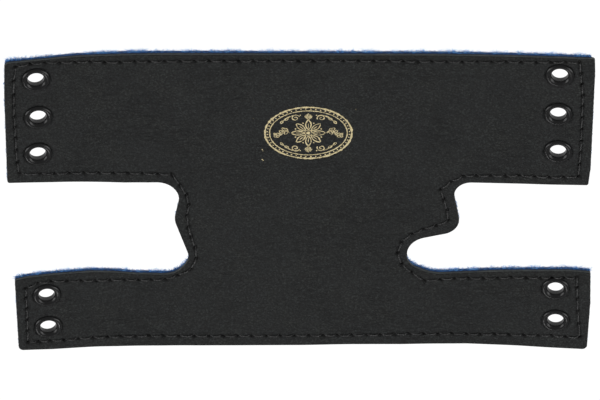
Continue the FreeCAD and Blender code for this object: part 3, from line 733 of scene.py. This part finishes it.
class Mat:
    """A short hand for building node materials."""

    def __init__(self, name):
        self.m = bpy.data.materials.new(name)
        self.m.use_nodes = True
        self.t = self.m.node_tree
        self.t.nodes.clear()
        self.out = self.t.nodes.new("ShaderNodeOutputMaterial")

    def n(self, kind, props=(), **inputs):
        node = self.t.nodes.new("ShaderNode" + kind)
        for k, v in dict(props).items():
            setattr(node, k, v)
        for k, v in inputs.items():
            self.set(node, k.replace("_", " "), v)
        return node

    def set(self, node, key, v):
        sock = node.inputs[key] if not key.isdigit() else node.inputs[int(key)]
        if isinstance(v, bpy.types.NodeSocket):
            self.t.links.new(v, sock)
        else:
            sock.default_value = v

    def attr(self, name, what="Fac"):
        return self.n("Attribute", {"attribute_name": name, "attribute_type": "GEOMETRY"}).outputs[what]

    def math(self, op, a, b=0.0, c=None, clamp=False):
        node = self.n("Math", {"operation": op, "use_clamp": clamp})
        for i, v in enumerate((a, b) if c is None else (a, b, c)):
            self.set(node, str(i), v)
        return node.outputs[0]

    def ramp(self, fac, *stops, smooth_it=False):
        node = self.n("ValToRGB")
        node.color_ramp.interpolation = "EASE" if smooth_it else "LINEAR"
        e = node.color_ramp.elements
        while len(e) < len(stops):
            e.new(0.5)
        for q, (at, col) in zip(e, stops):
            q.position = at
            q.color = (*col, 1) if hasattr(col, "__len__") else (col, col, col, 1)
        self.set(node, "Fac", fac)
        return node.outputs["Color"]

    def span(self, v, a, b, c, d):
        node = self.n("MapRange", {"clamp": True})
        for k, x in zip(("Value", "From Min", "From Max", "To Min", "To Max"), (v, a, b, c, d)):
            self.set(node, k, x)
        return node.outputs["Result"]

    def mix(self, fac, a, b, how="MIX"):
        node = self.n("Mix", {"data_type": "RGBA", "blend_type": how, "clamp_factor": True})
        self.set(node, "0", fac)
        for i, v in ((6, a), (7, b)):
            if not isinstance(v, bpy.types.NodeSocket):
                v = (*v, 1)
            self.set(node, str(i), v)
        return node.outputs[2]

    def noise(self, vec, scale, detail=2.0, rough=0.5, dist=0.0):
        return self.n("TexNoise", Vector=vec, Scale=scale, Detail=detail, Roughness=rough, Distortion=dist).outputs["Fac"]

    def voronoi(self, vec, scale, feature="F1", out="Distance", rand=1.0, **more):
        node = self.n("TexVoronoi", {"feature": feature}, Vector=vec, Scale=scale, Randomness=rand, **more)
        return node.outputs[out]

    def mapped(self, vec, scale=(1, 1, 1), turn=(0, 0, 0), move=(0, 0, 0)):
        return self.n("Mapping", Vector=vec, Scale=scale, Rotation=turn, Location=move).outputs["Vector"]

    def bump(self, height, distance, strength=1.0, normal=None):
        node = self.n("Bump", Height=height, Distance=distance, Strength=strength)
        if normal is not None:
            self.set(node, "Normal", normal)
        return node.outputs["Normal"]

    def shader(self, **inputs):
        node = self.n("BsdfPrincipled")
        for k, v in inputs.items():
            self.set(node, k.replace("_", " "), v)
        self.t.links.new(node.outputs[0], self.out.inputs["Surface"])
        return node


def leather_material():
    m = Mat("grained_black_leather")
    at = m.attr("flat", "Vector")
    warped = m.n("VectorMath", {"operation": "ADD"})
    m.set(warped, "0", at)
    bend = m.n("TexNoise", Vector=at, Scale=0.9, Detail=2.0)
    shift = m.n("VectorMath", {"operation": "SCALE"})
    m.set(shift, "0", bend.outputs["Color"])
    m.set(shift, "Scale", 0.5)
    m.set(warped, "1", shift.outputs[0])
    at2 = warped.outputs[0]
    pebble = m.voronoi(at2, 2.1, "SMOOTH_F1", Smoothness=0.6)
    small = m.voronoi(at2, 4.6, "SMOOTH_F1", Smoothness=0.5)
    pores = m.noise(at, 9.0, 3.0, 0.6)
    broad = m.noise(at, 0.16, 3.0, 0.55)
    mid = m.noise(at, 0.75, 3.0, 0.6)
    # soft folds, longer across the panel than along it
    fold_at = m.mapped(at, (0.20, 0.42, 0.3), (0, 0, 0.5))
    folds = m.noise(fold_at, 1.0, 4.0, 0.55, 1.4)
    folds2 = m.noise(m.mapped(at, (0.5, 0.16, 0.3), (0, 0, -0.3), (7, 3, 0)), 1.0, 3.0, 0.6, 1.8)
    speck = m.span(m.noise(at, 3.4, 3.0, 0.65), 0.50, 0.74, 0.0, 1.0)
    base = m.ramp(broad, (0.30, (0.0095, 0.0115, 0.0121)), (0.52, (0.0129, 0.0152, 0.0148)), (0.72, (0.0170, 0.0188, 0.0173)))
    grit = m.span(m.noise(at, 1.9, 1.0, 0.5), 0.34, 0.66, 0.0, 1.0)
    base = m.mix(1.0, base, m.ramp(grit, (0.0, 0.28), (0.5, 0.92), (1.0, 2.35)), "MULTIPLY")
    base = m.mix(m.math("MULTIPLY", speck, 0.62), base, (0.060, 0.062, 0.058))
    base = m.mix(m.span(pebble, 0.34, 0.62, 0.0, 0.75), base, (0.005, 0.0052, 0.0056))
    # fine creases, mostly lengthwise, in patches: bumped, and painted darker as shade in them
    crease = m.noise(m.mapped(at, (0.15, 0.60, 0.5), (0, 0, 0.12)), 1.0, 3.0, 0.6, 0.9)
    crease = m.span(m.math("ABSOLUTE", m.math("SUBTRACT", crease, 0.5)), 0.0, 0.030, 1.0, 0.0)
    crease = m.math("MULTIPLY", crease, m.span(m.noise(at, 0.06, 2.0, 0.5), 0.42, 0.58, 0.10, 1.0))
    base = m.mix(m.math("MULTIPLY", crease, 0.80), base, (0.003, 0.0034, 0.0038))
    # painted shadow: a dark line along the seam, a little to one side of the thread
    base = m.mix(m.math("MULTIPLY", m.attr("seam_shade"), 0.80), base, (0.003, 0.003, 0.0032))
    base = m.mix(m.math("MULTIPLY", m.attr("ring"), 0.25), base, (0.024, 0.024, 0.025))
    # the cut edge: raw split, greyer and greener, darker towards its lower part, with a burnished band near its top
    # that is painted pale as the highlight along the arris
    side = m.attr("side")
    level = m.attr("level")
    fibre = m.noise(m.mapped(at, (2.2, 2.2, 9.0)), 1.6, 4.0, 0.7)
    raw = m.ramp(fibre, (0.25, (0.024, 0.027, 0.028)), (0.50, (0.046, 0.051, 0.051)), (0.78, (0.084, 0.090, 0.087)))
    raw = m.mix(m.span(level, 0.55, 1.0, 0.0, 0.55), raw, (0.020, 0.024, 0.028))
    base = m.mix(m.math("MULTIPLY", m.span(side, 0.25, 0.9, 0.0, 1.0), m.span(level, 0.06, 0.30, 0.0, 1.0)), base, raw)
    # painted highlight: a pale band on the upper cut edge, on a burnished rim, broken up in patches
    burnished_rim_highlight = m.math("MULTIPLY", m.span(side, 0.15, 0.75, 0.0, 1.0), m.math("MULTIPLY", m.span(level, 0.62, 0.36, 0.0, 1.0), m.span(level, 0.10, 0.30, 0.0, 1.0)))
    worn = m.span(m.noise(at, 1.4, 4.0, 0.7), 0.38, 0.62, 0.25, 1.0)
    base = m.mix(m.math("MULTIPLY", burnished_rim_highlight, m.math("MULTIPLY", worn, 0.40)), base, (0.13, 0.135, 0.13))
    # painted shade: the needle holes darkened nearly to black
    base = m.mix(m.span(m.attr("prick"), 0.12, 0.50, 0.0, 1.0), base, (0.0012, 0.0012, 0.0012))
    rough = m.span(m.math("ADD", m.math("MULTIPLY", mid, 0.6), m.math("MULTIPLY", broad, 0.4)), 0.3, 0.7, 0.50, 0.68)
    rough = m.math("ADD", rough, m.math("MULTIPLY", m.span(side, 0.3, 1.0, 0.0, 1.0), 0.25))
    b = m.bump(m.math("ADD", folds, m.math("MULTIPLY", folds2, 0.8)), 0.00075, 0.9)
    b = m.bump(m.math("SUBTRACT", 1.0, crease), 0.00016, 0.8, b)
    b = m.bump(pebble, 0.00018, 0.9, b)
    b = m.bump(small, 0.00009, 0.8, b)
    b = m.bump(pores, 0.00006, 0.8, b)
    m.shader(Base_Color=base, Roughness=rough, Normal=b, Specular_IOR_Level=0.34)
    return m.m


def felt_material(name, fuzz=False):
    m = Mat(name)
    at = m.attr("flat", "Vector")
    long1 = m.noise(m.mapped(at, (1.0, 5.5, 4.0), (0, 0, 0.6)), 1.5, 4.0, 0.65, 1.6)
    long2 = m.noise(m.mapped(at, (5.5, 1.0, 4.0), (0, 0, 0.25)), 1.5, 4.0, 0.65, 1.6)
    clump = m.noise(at, 0.55, 3.0, 0.6)
    hairs = m.math("ADD", m.math("MULTIPLY", long1, 0.5), m.math("MULTIPLY", long2, 0.5))
    if fuzz:
        tip = m.attr("tip")
        hue = m.attr("hue")
        # painted shade and highlight: each fibre dark navy at its root, paling towards its tip
        col = m.ramp(
            m.math("ADD", tip, m.math("MULTIPLY", m.math("SUBTRACT", hue, 0.5), 0.35), clamp=True),
            (0.0, (0.018, 0.068, 0.215)), (0.22, (0.055, 0.200, 0.53)),
            (0.50, (0.130, 0.40, 0.87)), (1.0, (0.33, 0.66, 1.0)),
        )
        m.shader(Base_Color=col, Roughness=0.9, Specular_IOR_Level=0.10, Sheen_Weight=0.10, Sheen_Roughness=0.5)
        return m.m
    col = m.ramp(hairs, (0.30, (0.007, 0.026, 0.085)), (0.48, (0.018, 0.060, 0.185)), (0.62, (0.034, 0.105, 0.31)), (0.78, (0.075, 0.20, 0.50)))
    col = m.mix(m.span(clump, 0.35, 0.7, 0.0, 0.35), col, (0.007, 0.020, 0.085))
    # painted shade along the seam, where the felt is pulled in
    col = m.mix(m.math("MULTIPLY", m.attr("seam_shade"), 0.55), col, (0.004, 0.010, 0.045))
    # painted shade round each washer's edge, where the felt is pressed up
    col = m.mix(m.math("MULTIPLY", m.attr("ring"), 0.5), col, (0.005, 0.012, 0.05))
    # painted shade: the needle holes darkened nearly to black
    col = m.mix(m.span(m.attr("prick"), 0.3, 0.8, 0.0, 1.0), col, (0.001, 0.002, 0.006))
    rough = m.span(hairs, 0.3, 0.7, 0.86, 1.0)
    b = m.bump(clump, 0.0005, 0.5)
    b = m.bump(hairs, 0.00035, 0.9, b)
    b = m.bump(m.noise(m.mapped(at, (3, 3, 6)), 3.0, 3.0, 0.7), 0.00012, 0.7, b)
    m.shader(Base_Color=col, Roughness=rough, Normal=b, Specular_IOR_Level=0.15, Sheen_Weight=0.35, Sheen_Roughness=0.45, Sheen_Tint=(0.45, 0.62, 1.0, 1))
    return m.m


def thread_material():
    m = Mat("waxed_black_thread")
    at = m.attr("flat", "Vector")
    along = m.attr("along")
    strands = m.n("TexWave", {"wave_type": "BANDS", "bands_direction": "X"}, Scale=1.0, Distortion=0.6, Detail=1.0)
    v = m.n("CombineXYZ")
    m.set(v, "X", m.math("MULTIPLY", m.math("ADD", m.math("MULTIPLY", along, 1.0), m.math("MULTIPLY", m.attr("turn"), 0.8)), 1.6))
    m.set(strands, "Vector", v.outputs[0])
    glint_noise = m.span(m.noise(at, 2.2, 3.0, 0.7), 0.30, 0.70, 0.10, 0.90)
    # painted highlight: the upper stops of this ramp paint pale glints on the thread, in patches along the twist
    col = m.ramp(m.math("ADD", m.math("MULTIPLY", strands.outputs["Fac"], 0.5), m.math("MULTIPLY", glint_noise, 0.6)), (0.2, (0.003, 0.003, 0.0035)), (0.54, (0.010, 0.010, 0.011)), (0.66, (0.046, 0.047, 0.047)), (0.82, (0.20, 0.20, 0.20)))
    rough = m.span(glint_noise, 0.3, 0.7, 0.42, 0.72)
    b = m.bump(strands.outputs["Fac"], 0.00005, 0.6)
    m.shader(Base_Color=col, Roughness=rough, Normal=b, Specular_IOR_Level=0.5, Sheen_Weight=0.08, Sheen_Roughness=0.4)
    return m.m


def enamel_material():
    m = Mat("black_enamel_on_brass")
    at = m.n("TexCoord").outputs["Object"]
    mm = m.mapped(at, (1000, 1000, 1000))
    peel = m.noise(mm, 1.1, 2.0, 0.5)
    wear = m.noise(mm, 2.4, 5.0, 0.7)
    scratch = m.noise(m.mapped(mm, (0.7, 7.0, 2.0), (0, 0, 0.8)), 1.3, 3.0, 0.6, 0.5)
    col = m.ramp(wear, (0.35, (0.0035, 0.0036, 0.0040)), (0.66, (0.0065, 0.0065, 0.0070)), (0.82, (0.016, 0.0155, 0.015)))
    rough = m.span(m.math("ADD", m.math("MULTIPLY", wear, 0.5), m.math("MULTIPLY", scratch, 0.5)), 0.35, 0.70, 0.14, 0.30)
    b = m.bump(peel, 0.00004, 0.30)
    b = m.bump(scratch, 0.00001, 0.25, b)
    # the drawn barrel stays dull, the flange is polished by the die
    lean = m.n("SeparateXYZ")
    m.set(lean, "Vector", m.n("TexCoord").outputs["Normal"])
    rough = m.math("MAXIMUM", rough, m.span(m.math("ABSOLUTE", lean.outputs["Z"]), 0.20, 0.62, 0.46, 0.12))
    m.shader(Base_Color=col, Roughness=rough, Normal=b, Specular_IOR_Level=0.5, IOR=1.40, Coat_Weight=0.05, Coat_Roughness=0.2)
    return m.m


def foil_material():
    m = Mat("worn_gold_foil")
    at = m.attr("flat", "Vector")
    blot = m.noise(at, 2.0, 4.0, 0.7)
    fine_blot = m.noise(at, 4.6, 3.0, 0.7)
    lack = m.math("ADD", m.math("MULTIPLY", blot, 0.55), m.math("MULTIPLY", fine_blot, 0.45))
    gone = m.span(lack, 0.465, 0.385, 0.0, 1.0)
    gold = m.ramp(fine_blot, (0.30, (0.56, 0.44, 0.20)), (0.50, (0.86, 0.71, 0.38)), (0.70, (1.0, 0.93, 0.66)))
    col = m.mix(gone, gold, (0.020, 0.019, 0.016))
    metal = m.span(gone, 0.0, 1.0, 0.25, 0.0)
    rough = m.span(lack, 0.3, 0.7, 0.60, 0.38)
    b = m.bump(m.voronoi(at, 2.1, "SMOOTH_F1", Smoothness=0.6), 0.00010, 0.5)
    b = m.bump(fine_blot, 0.00003, 0.6, b)
    m.shader(Base_Color=col, Metallic=metal, Roughness=rough, Normal=b, Specular_IOR_Level=0.5)
    return m.m


LEATHER = leather_material()
FELT = felt_material("blue_felt_cloth")
FUZZ = felt_material("blue_felt_fibres", True)
THREAD = thread_material()
ENAMEL = enamel_material()
FOIL = foil_material()

spans = []
leather.build(zones_fine, zones_coarse, LEATHER, spans)
lining.build(zones_fine, zones_coarse, FELT, spans)

# ---------------------------------------------------------------- the seam


def part_of(flat):
    return zone(np.asarray(flat)[:, :2])


def build_seam():
    per, ring_n = 20, 6
    n = len(HOLES) * per
    t = (np.arange(n) % per) / per
    i = np.arange(n) // per
    a, b = SEAM_A[i], SEAM_B[i]
    length = np.linalg.norm(b - a, axis=1)
    r = np.random.default_rng(77)
    lean = r.normal(0, 0.035, len(HOLES))[i]
    pull = r.uniform(-0.03, 0.03, len(HOLES))[i]
    line = a + (b - a) * t[:, None]
    d = (b - a) / length[:, None]
    side = np.stack([-d[:, 1], d[:, 0]], axis=1)
    to_hole = np.minimum(t, 1 - t) * length
    line = line + side * (0.10 * np.cos(math.pi * t) * smooth(to_hole / 0.5) + lean * np.sin(math.pi * t))[:, None]
    tangent = np.roll(line, -1, axis=0) - np.roll(line, 1, axis=0)
    tangent = tangent / np.maximum(np.linalg.norm(tangent, axis=1), 1e-9)[:, None]
    side = np.stack([-tangent[:, 1], tangent[:, 0]], axis=1)
    along = np.cumsum(np.linalg.norm(line - np.roll(line, 1, axis=0), axis=1))
    verts, flats, quads, where, alongs, turns = [], [], [], [], [], []
    turns_all = round(along[-1] / 1.35)
    for level in (0, 1):
        dip = np.exp(-((to_hole / 0.66) ** 2))
        if level == 0:
            z = TOP + 0.01 + pull + 0.06 * np.sin(math.pi * t) - 1.0 * dip
            hand = 1
        else:
            z = 0.19 + 0.5 * pull + 0.75 * dip
            hand = -1
        for ply in (0, 1):
            phi = hand * 2 * math.pi * turns_all * along / along[-1] + math.pi * ply
            c = np.column_stack([line + side * (0.09 * np.cos(phi))[:, None], z + 0.09 * np.sin(phi)])
            ang = np.arange(ring_n) * 2 * math.pi / ring_n
            rad = 0.115
            p = (
                c[:, None, :]
                + rad * np.cos(ang)[None, :, None] * np.column_stack([side, np.zeros(n)])[:, None, :]
                + rad * np.sin(ang)[None, :, None] * np.array((0, 0, 1.0))
            )
            first = sum(len(v) for v in verts)
            verts.append(p.reshape(-1, 3))
            alongs.append(np.repeat(along, ring_n))
            turns.append(np.tile(ang, n) + np.repeat(phi, ring_n))
            k = np.arange(n)[:, None] * ring_n + np.arange(ring_n)[None, :]
            k2 = ((np.arange(n) + 1) % n)[:, None] * ring_n + np.arange(ring_n)[None, :]
            q = np.stack([k, k2, np.roll(k2, -1, axis=1), np.roll(k, -1, axis=1)], axis=2).reshape(-1, 4)
            quads.append(q + first)
            mid = (c + np.roll(c, -1, axis=0)) / 2
            where.append(np.repeat(part_of(mid), ring_n))
    verts, quads, where = np.concatenate(verts), np.concatenate(quads), np.concatenate(where)
    alongs, turns = np.concatenate(alongs), np.concatenate(turns)
    world = curl(verts) * MM
    normals = np.zeros_like(world)
    f = face_normals(world, quads[:, :3])
    for j in range(4):
        np.add.at(normals, quads[:, j], f)
    normals /= np.maximum(np.linalg.norm(normals, axis=1), 1e-18)[:, None]
    for k, piece in enumerate(PIECES):
        q = quads[where == k]
        if not len(q):
            continue
        used = np.unique(q)
        back = np.full(len(verts), -1)
        back[used] = np.arange(len(used))
        o = mesh_of(
            f"seam_{piece}_thread", world[used], [], back[q],
            {"flat": verts[used], "along": alongs[used], "turn": turns[used]}, normals[used],
        )
        o.data.materials.append(THREAD)
        settle(o, k)
        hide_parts(f"seam_{piece}")


build_seam()

# ---------------------------------------------------------------- fibres standing off the felt


def build_fuzz():
    r = np.random.default_rng(12)
    a, b = EDGE_A, EDGE_B
    length = np.linalg.norm(b - a, axis=1)
    n = 40000
    pick = r.choice(len(a), n, p=length / length.sum())
    u = r.random(n)[:, None]
    base = a[pick] * (1 - u) + b[pick] * u
    out = OUTWARD[pick] * (1 - u) + OUTWARD[(pick + 1) % len(a)] * u
    out /= np.linalg.norm(out, axis=1)[:, None]
    tang = np.stack([-out[:, 1], out[:, 0]], axis=1)
    h = 0.03 + 1.25 * r.random(n) ** 1.5
    # the fibres lie thicker in some places than in others
    thick = 0.5 + 0.5 * waves(base[:, 0], base[:, 1], 5.5, 6, 91)
    keep = r.random(n) < np.clip(0.45 + 0.55 * thick, 0.10, 1.0)
    keep &= ~((base[:, 0] > 75.8) & (base[:, 1] > 45))
    base, out, tang, h = base[keep], out[keep], tang[keep], h[keep]
    base = base - out * shy(out)[:, None]
    n = len(base)
    # tufts, and a shorter nap along the edges that were pressed in cutting
    tuft = waves(base[:, 0], base[:, 1], 1.3, 8, 55)
    size = np.clip(np.abs(r.normal(0.56, 0.22, n)), 0.15, 1.20) * np.clip(0.85 + 0.9 * tuft, 0.35, 1.6)
    size *= 0.38 + 0.62 * smooth(out[:, 1] / 0.7)
    d = np.column_stack([out * r.uniform(0.6, 1.0, n)[:, None] + tang * r.normal(0, 0.60, n)[:, None], r.normal(0.02, 0.22, n)])
    d /= np.linalg.norm(d, axis=1)[:, None]
    bend = np.column_stack([tang * r.normal(0, 0.8, n)[:, None], r.normal(0, 0.30, n)])
    wide = np.cross(d, r.normal(0, 1, (n, 3)))
    wide /= np.linalg.norm(wide, axis=1)[:, None]
    w0 = r.uniform(0.026, 0.058, n)
    steps = 2
    verts, tips, hues = [], [], []
    hue = r.random(n)
    root = np.column_stack([base + out * np.where(h < 1.05, -0.08, 0.0)[:, None], np.minimum(h, 1.12)])
    for k in range(steps + 1):
        t = k / steps
        c = root + d * (size * t + 0.10 * (t > 0))[:, None] + bend * (0.5 * size * t * t)[:, None]
        w = w0 * (1 - 0.75 * t)
        verts += [c - wide * w[:, None], c + wide * w[:, None]]
        # how far out a fibre reaches, which the fibre material turns into painted shade near the root and painted
        # highlight near the tip
        reach = np.clip(((c[:, :2] - base) * out).sum(1) / 0.62, 0, 1)
        tips += [reach, reach]
        hues += [hue, hue]
    v = np.stack(verts, axis=1)  # fibre, 2*(steps+1), xyz
    m = v.shape[1]
    v[:, :, 2] = np.clip(v[:, :, 2], 0.0, 1.55)
    q = np.concatenate([np.stack([np.full(n, 2 * k), np.full(n, 2 * k + 1), np.full(n, 2 * k + 3), np.full(n, 2 * k + 2)], axis=1) + (np.arange(n) * m)[:, None] for k in range(steps)])
    owner = np.tile(part_of(root), steps)
    flat = v.reshape(-1, 3)
    tips, hues = np.stack(tips, axis=1).ravel(), np.stack(hues, axis=1).ravel()
    world = curl(flat) * MM
    for k, piece in enumerate(PIECES):
        mine = q[owner == k]
        used = np.unique(mine)
        back = np.full(len(flat), -1)
        back[used] = np.arange(len(used))
        o = mesh_of(f"felt_fibres_{piece}", world[used], [], back[mine], {"flat": flat[used], "tip": tips[used], "hue": hues[used]})
        o.data.materials.append(FUZZ)
        settle(o, k)


build_fuzz()

# ---------------------------------------------------------------- the stamped ornament

CENTRE = np.array((2.2, 25.3))


def build_foil():
    r = np.random.default_rng(8)
    verts, quads, tris = [], [], []

    def at(p):
        return np.asarray(p, float) + CENTRE

    def stroke(line, width, closed=False, taper=False):
        """A line of foil along these points, uneven in width as worn foil is."""
        line = np.asarray(line, float)
        if closed:
            line = np.concatenate([line, line[:1]])
        seg = np.linalg.norm(np.diff(line, axis=0), axis=1)
        s = np.concatenate([[0], np.cumsum(seg)])
        n = max(3, int(s[-1] / 0.14))
        q = np.linspace(0, s[-1], n)
        p = np.stack([np.interp(q, s, line[:, k]) for k in (0, 1)], axis=1)
        d = np.gradient(p, axis=0)
        d /= np.maximum(np.linalg.norm(d, axis=1), 1e-9)[:, None]
        side = np.stack([-d[:, 1], d[:, 0]], axis=1)
        rough = 1 + 0.30 * np.clip(np.convolve(r.normal(0, 1, n + 4), np.ones(5) / 5 * 2.0, "valid")[:n], -1.6, 1.6)
        w = width * np.clip(rough, 0.45, 1.5) / 2
        if taper:
            w = w * np.sin(np.linspace(0.12, math.pi - 0.12, n)) ** 0.6
        p = p + side * (0.02 * r.normal(0, 1, n))[:, None]
        first = len(verts)
        for k in range(n):
            verts.append(at(p[k] + side[k] * w[k]))
            verts.append(at(p[k] - side[k] * w[k]))
        for k in range(n - 1):
            quads.append((first + 2 * k, first + 2 * k + 1, first + 2 * k + 3, first + 2 * k + 2))

    def blob(c, rad, stretch=1.0, turn=0.0, n=11):
        first = len(verts)
        verts.append(at(c))
        for k in range(n):
            a = 2 * math.pi * k / n
            q = rad * r.uniform(0.78, 1.18)
            u, v = q * math.cos(a) * stretch, q * math.sin(a)
            verts.append(at((c[0] + u * math.cos(turn) - v * math.sin(turn), c[1] + u * math.sin(turn) + v * math.cos(turn))))
        for k in range(n):
            tris.append((first, first + 1 + k, first + 1 + (k + 1) % n))

    def oval(rx, ry, n=160):
        a = np.arange(n) * 2 * math.pi / n
        return np.stack([rx * np.cos(a), ry * np.sin(a)], axis=1)

    def leaf(x, y, turn, long=1.5, wide=0.46, w=0.20):
        t = np.linspace(0, 1, 12)
        up = np.stack([long * t, wide * np.sin(math.pi * t) ** 0.9], axis=1)
        loop = np.concatenate([up, (up * (1, -1))[::-1][1:-1]])
        c, s = math.cos(turn), math.sin(turn)
        stroke(loop @ np.array([[c, s], [-s, c]]) + (x, y), w, closed=True)

    def scroll(x, y, r0, turns, start, hand, w=0.26):
        t = np.linspace(0, 1, 40)
        a = start + hand * turns * 2 * math.pi * t
        q = r0 * (1 - 0.82 * t)
        stroke(np.stack([x + q * np.cos(a), y + q * np.sin(a)], axis=1), w)

    stroke(oval(11.4, 8.8, 220), 0.46, closed=True)
    stroke(oval(10.2, 7.6, 200), 0.28, closed=True)
    for k in range(52):
        a = 2 * math.pi * (k + 0.5) / 52
        blob((10.8 * math.cos(a), 8.2 * math.sin(a)), 0.19, 1.3 if k % 2 else 1.0, a)
    # an eight-leaved rosette
    t = np.linspace(0, 1, 18)
    for k in range(8):
        a = math.pi / 4 * k + math.pi / 8 * 0
        rad, wide = 1.15 + 3.3 * t, 0.72 * np.sin(math.pi * t) ** 0.75
        c, s = math.cos(a), math.sin(a)
        up = np.stack([rad * c - wide * s, rad * s + wide * c], axis=1)
        down = np.stack([rad * c + wide * s, rad * s - wide * c], axis=1)
        stroke(np.concatenate([up, down[::-1][1:-1]]), 0.28, closed=True)
        stroke([(1.6 * c, 1.6 * s), (3.3 * c, 3.3 * s)], 0.20, taper=True)
        a += math.pi / 8
        blob((3.65 * math.cos(a), 3.65 * math.sin(a)), 0.22)
    blob((0, 0), 0.55, n=16)
    stroke(oval(0.95, 0.95, 30), 0.20, closed=True)
    # leafy scrolls each side, and small ones above and below
    for s in (-1, 1):
        t = np.linspace(0, 1, 26)
        stem = np.stack([s * (4.9 + 4.2 * t), 0.9 * np.sin(2 * math.pi * t)], axis=1)
        stroke(stem, 0.28)
        for k, q in enumerate((0.12, 0.30, 0.48, 0.66, 0.84)):
            x, y = s * (4.9 + 4.2 * q), 0.9 * math.sin(2 * math.pi * q)
            for v in (-1, 1):
                turn = math.atan2(v * 0.95, s * 0.8)
                leaf(x, y, turn, 1.35 - 0.14 * k, 0.34)
        for v in (-1, 1):
            scroll(s * 3.4, v * 5.15, 1.15, 1.35, math.pi / 2 * (1 + s) + 0.4 * v, -s * v)
            t = np.linspace(0, 1, 20)
            stroke(np.stack([s * (3.4 + 3.6 * t), v * (6.05 - 2.5 * t * t)], axis=1), 0.28, taper=True)
            leaf(s * 5.2, v * 5.1, math.atan2(-v * 0.5, s * 0.9), 1.3, 0.32)
            leaf(s * 6.6, v * 4.2, math.atan2(-v * 0.9, s * 0.7), 1.2, 0.30)
            blob((s * 2.15, v * 6.1), 0.20)
    for v in (-1, 1):
        for a in (-0.75, -0.38, 0, 0.38, 0.75):
            x, y = 0.2 * math.sin(a), v * 4.75
            leaf(x, y, math.pi / 2 * v + a * v, 1.95 - 0.5 * abs(a), 0.28)
        blob((0, v * 4.55), 0.24)
    # stray flecks beside it
    for x, y, q in ((-9.9, 19.6, 0.15), (-9.75, 19.1, 0.09), (-9.95, 16.1, 0.16), (-9.7, 15.8, 0.13), (14.6, 33.4, 0.08), (-12.3, 30.2, 0.06)):
        blob((x - CENTRE[0], y - CENTRE[1]), q, 1.25, 0.6, 9)
    p = np.array(verts)
    flat = np.column_stack([p, face_height(p) + 0.014])
    world = curl(flat) * MM
    t, q = np.array(tris), np.array(quads)
    n = face_normals(world, t)[:, 2]
    t[n < 0] = t[n < 0][:, ::-1]
    n = face_normals(world, q[:, :3])[:, 2]
    q[n < 0] = q[n < 0][:, ::-1]
    o = mesh_of("foil_ornament", world, t, q, {"flat": flat})
    o.data.materials.append(FOIL)
    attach(o, "root")
    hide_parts("foil_emblem")


build_foil()

# ---------------------------------------------------------------- eyelets and washers, as the CAD has them

for name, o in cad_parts.items():
    if name.startswith(("eyelet_", "washers_")):
        o.data.materials.clear()
        o.data.materials.append(ENAMEL)
        o.data.shade_smooth()
        o.data.set_sharp_from_angle(angle=math.radians(38))

for o, w, l, area in spans:
    k = o.name

# ---------------------------------------------------------------- floor, light and camera


def floor():
    n, half = 24, 1.6
    v = [(half * (2 * i / n - 1), half * (2 * j / n - 1), -0.045) for j in range(n + 1) for i in range(n + 1)]
    f = [(j * (n + 1) + i, j * (n + 1) + i + 1, (j + 1) * (n + 1) + i + 1, (j + 1) * (n + 1) + i) for j in range(n) for i in range(n)]
    me = bpy.data.meshes.new("pale_floor")
    me.from_pydata(v, [], f)
    o = bpy.data.objects.new("pale_floor", me)
    bpy.context.scene.collection.objects.link(o)
    m = Mat("pale_card")
    d = m.n("BsdfDiffuse", Color=(0.9, 0.9, 0.9, 1))
    e = m.n("Emission", Color=(1, 1, 1, 1), Strength=1.085)
    mix = m.n("MixShader", Fac=0.94)
    m.t.links.new(d.outputs[0], mix.inputs[1])
    m.t.links.new(e.outputs[0], mix.inputs[2])
    m.t.links.new(mix.outputs[0], m.out.inputs["Surface"])
    me.materials.append(m.m)


floor()

scene = bpy.context.scene
scene.view_settings.view_transform = "Standard"
scene.view_settings.look = "None"
scene.view_settings.exposure = 0
scene.view_settings.gamma = 1
world = bpy.data.worlds.new("studio")
scene.world = world
world.use_nodes = True
world.node_tree.nodes["Background"].inputs["Color"].default_value = (1, 1, 1, 1)
world.node_tree.nodes["Background"].inputs["Strength"].default_value = 0.36


def area(name, at, to, size, power, colour=(1, 1, 1)):
    light = bpy.data.lights.new(name, "AREA")
    light.shape = "RECTANGLE"
    light.size, light.size_y = size
    light.energy = power
    light.color = colour
    o = bpy.data.objects.new(name, light)
    scene.collection.objects.link(o)
    o.location = at
    o.rotation_mode = "QUATERNION"
    o.rotation_quaternion = (Vector(to) - Vector(at)).to_track_quat("-Z", "Y")
    return o


area("soft_left", (-1.15, 0.05, 0.75), (0, 0, 0), (0.7, 1.3), 7)
area("soft_right", (1.15, 0.05, 0.75), (0, 0, 0), (0.7, 1.3), 7)
area("soft_far", (-0.15, -1.05, 0.95), (0, 0, 0), (0.28, 0.18), 1.2)

camera = bpy.data.cameras.new("camera")
eye = bpy.data.objects.new("camera", camera)
scene.collection.objects.link(eye)
E = math.radians(48.8)
camera.sensor_width = 36
camera.lens = 6736.0 / 600 * 36
camera.clip_start, camera.clip_end = 0.05, 20
back = Vector((0, math.cos(E), math.sin(E)))
up = Vector((0, math.sin(E), -math.cos(E)))
place = back * 1.785
eye.matrix_world = Matrix((
    (1, up.x, back.x, place.x), (0, up.y, back.y, place.y), (0, up.z, back.z, place.z), (0, 0, 0, 1),
))
scene.camera = eye
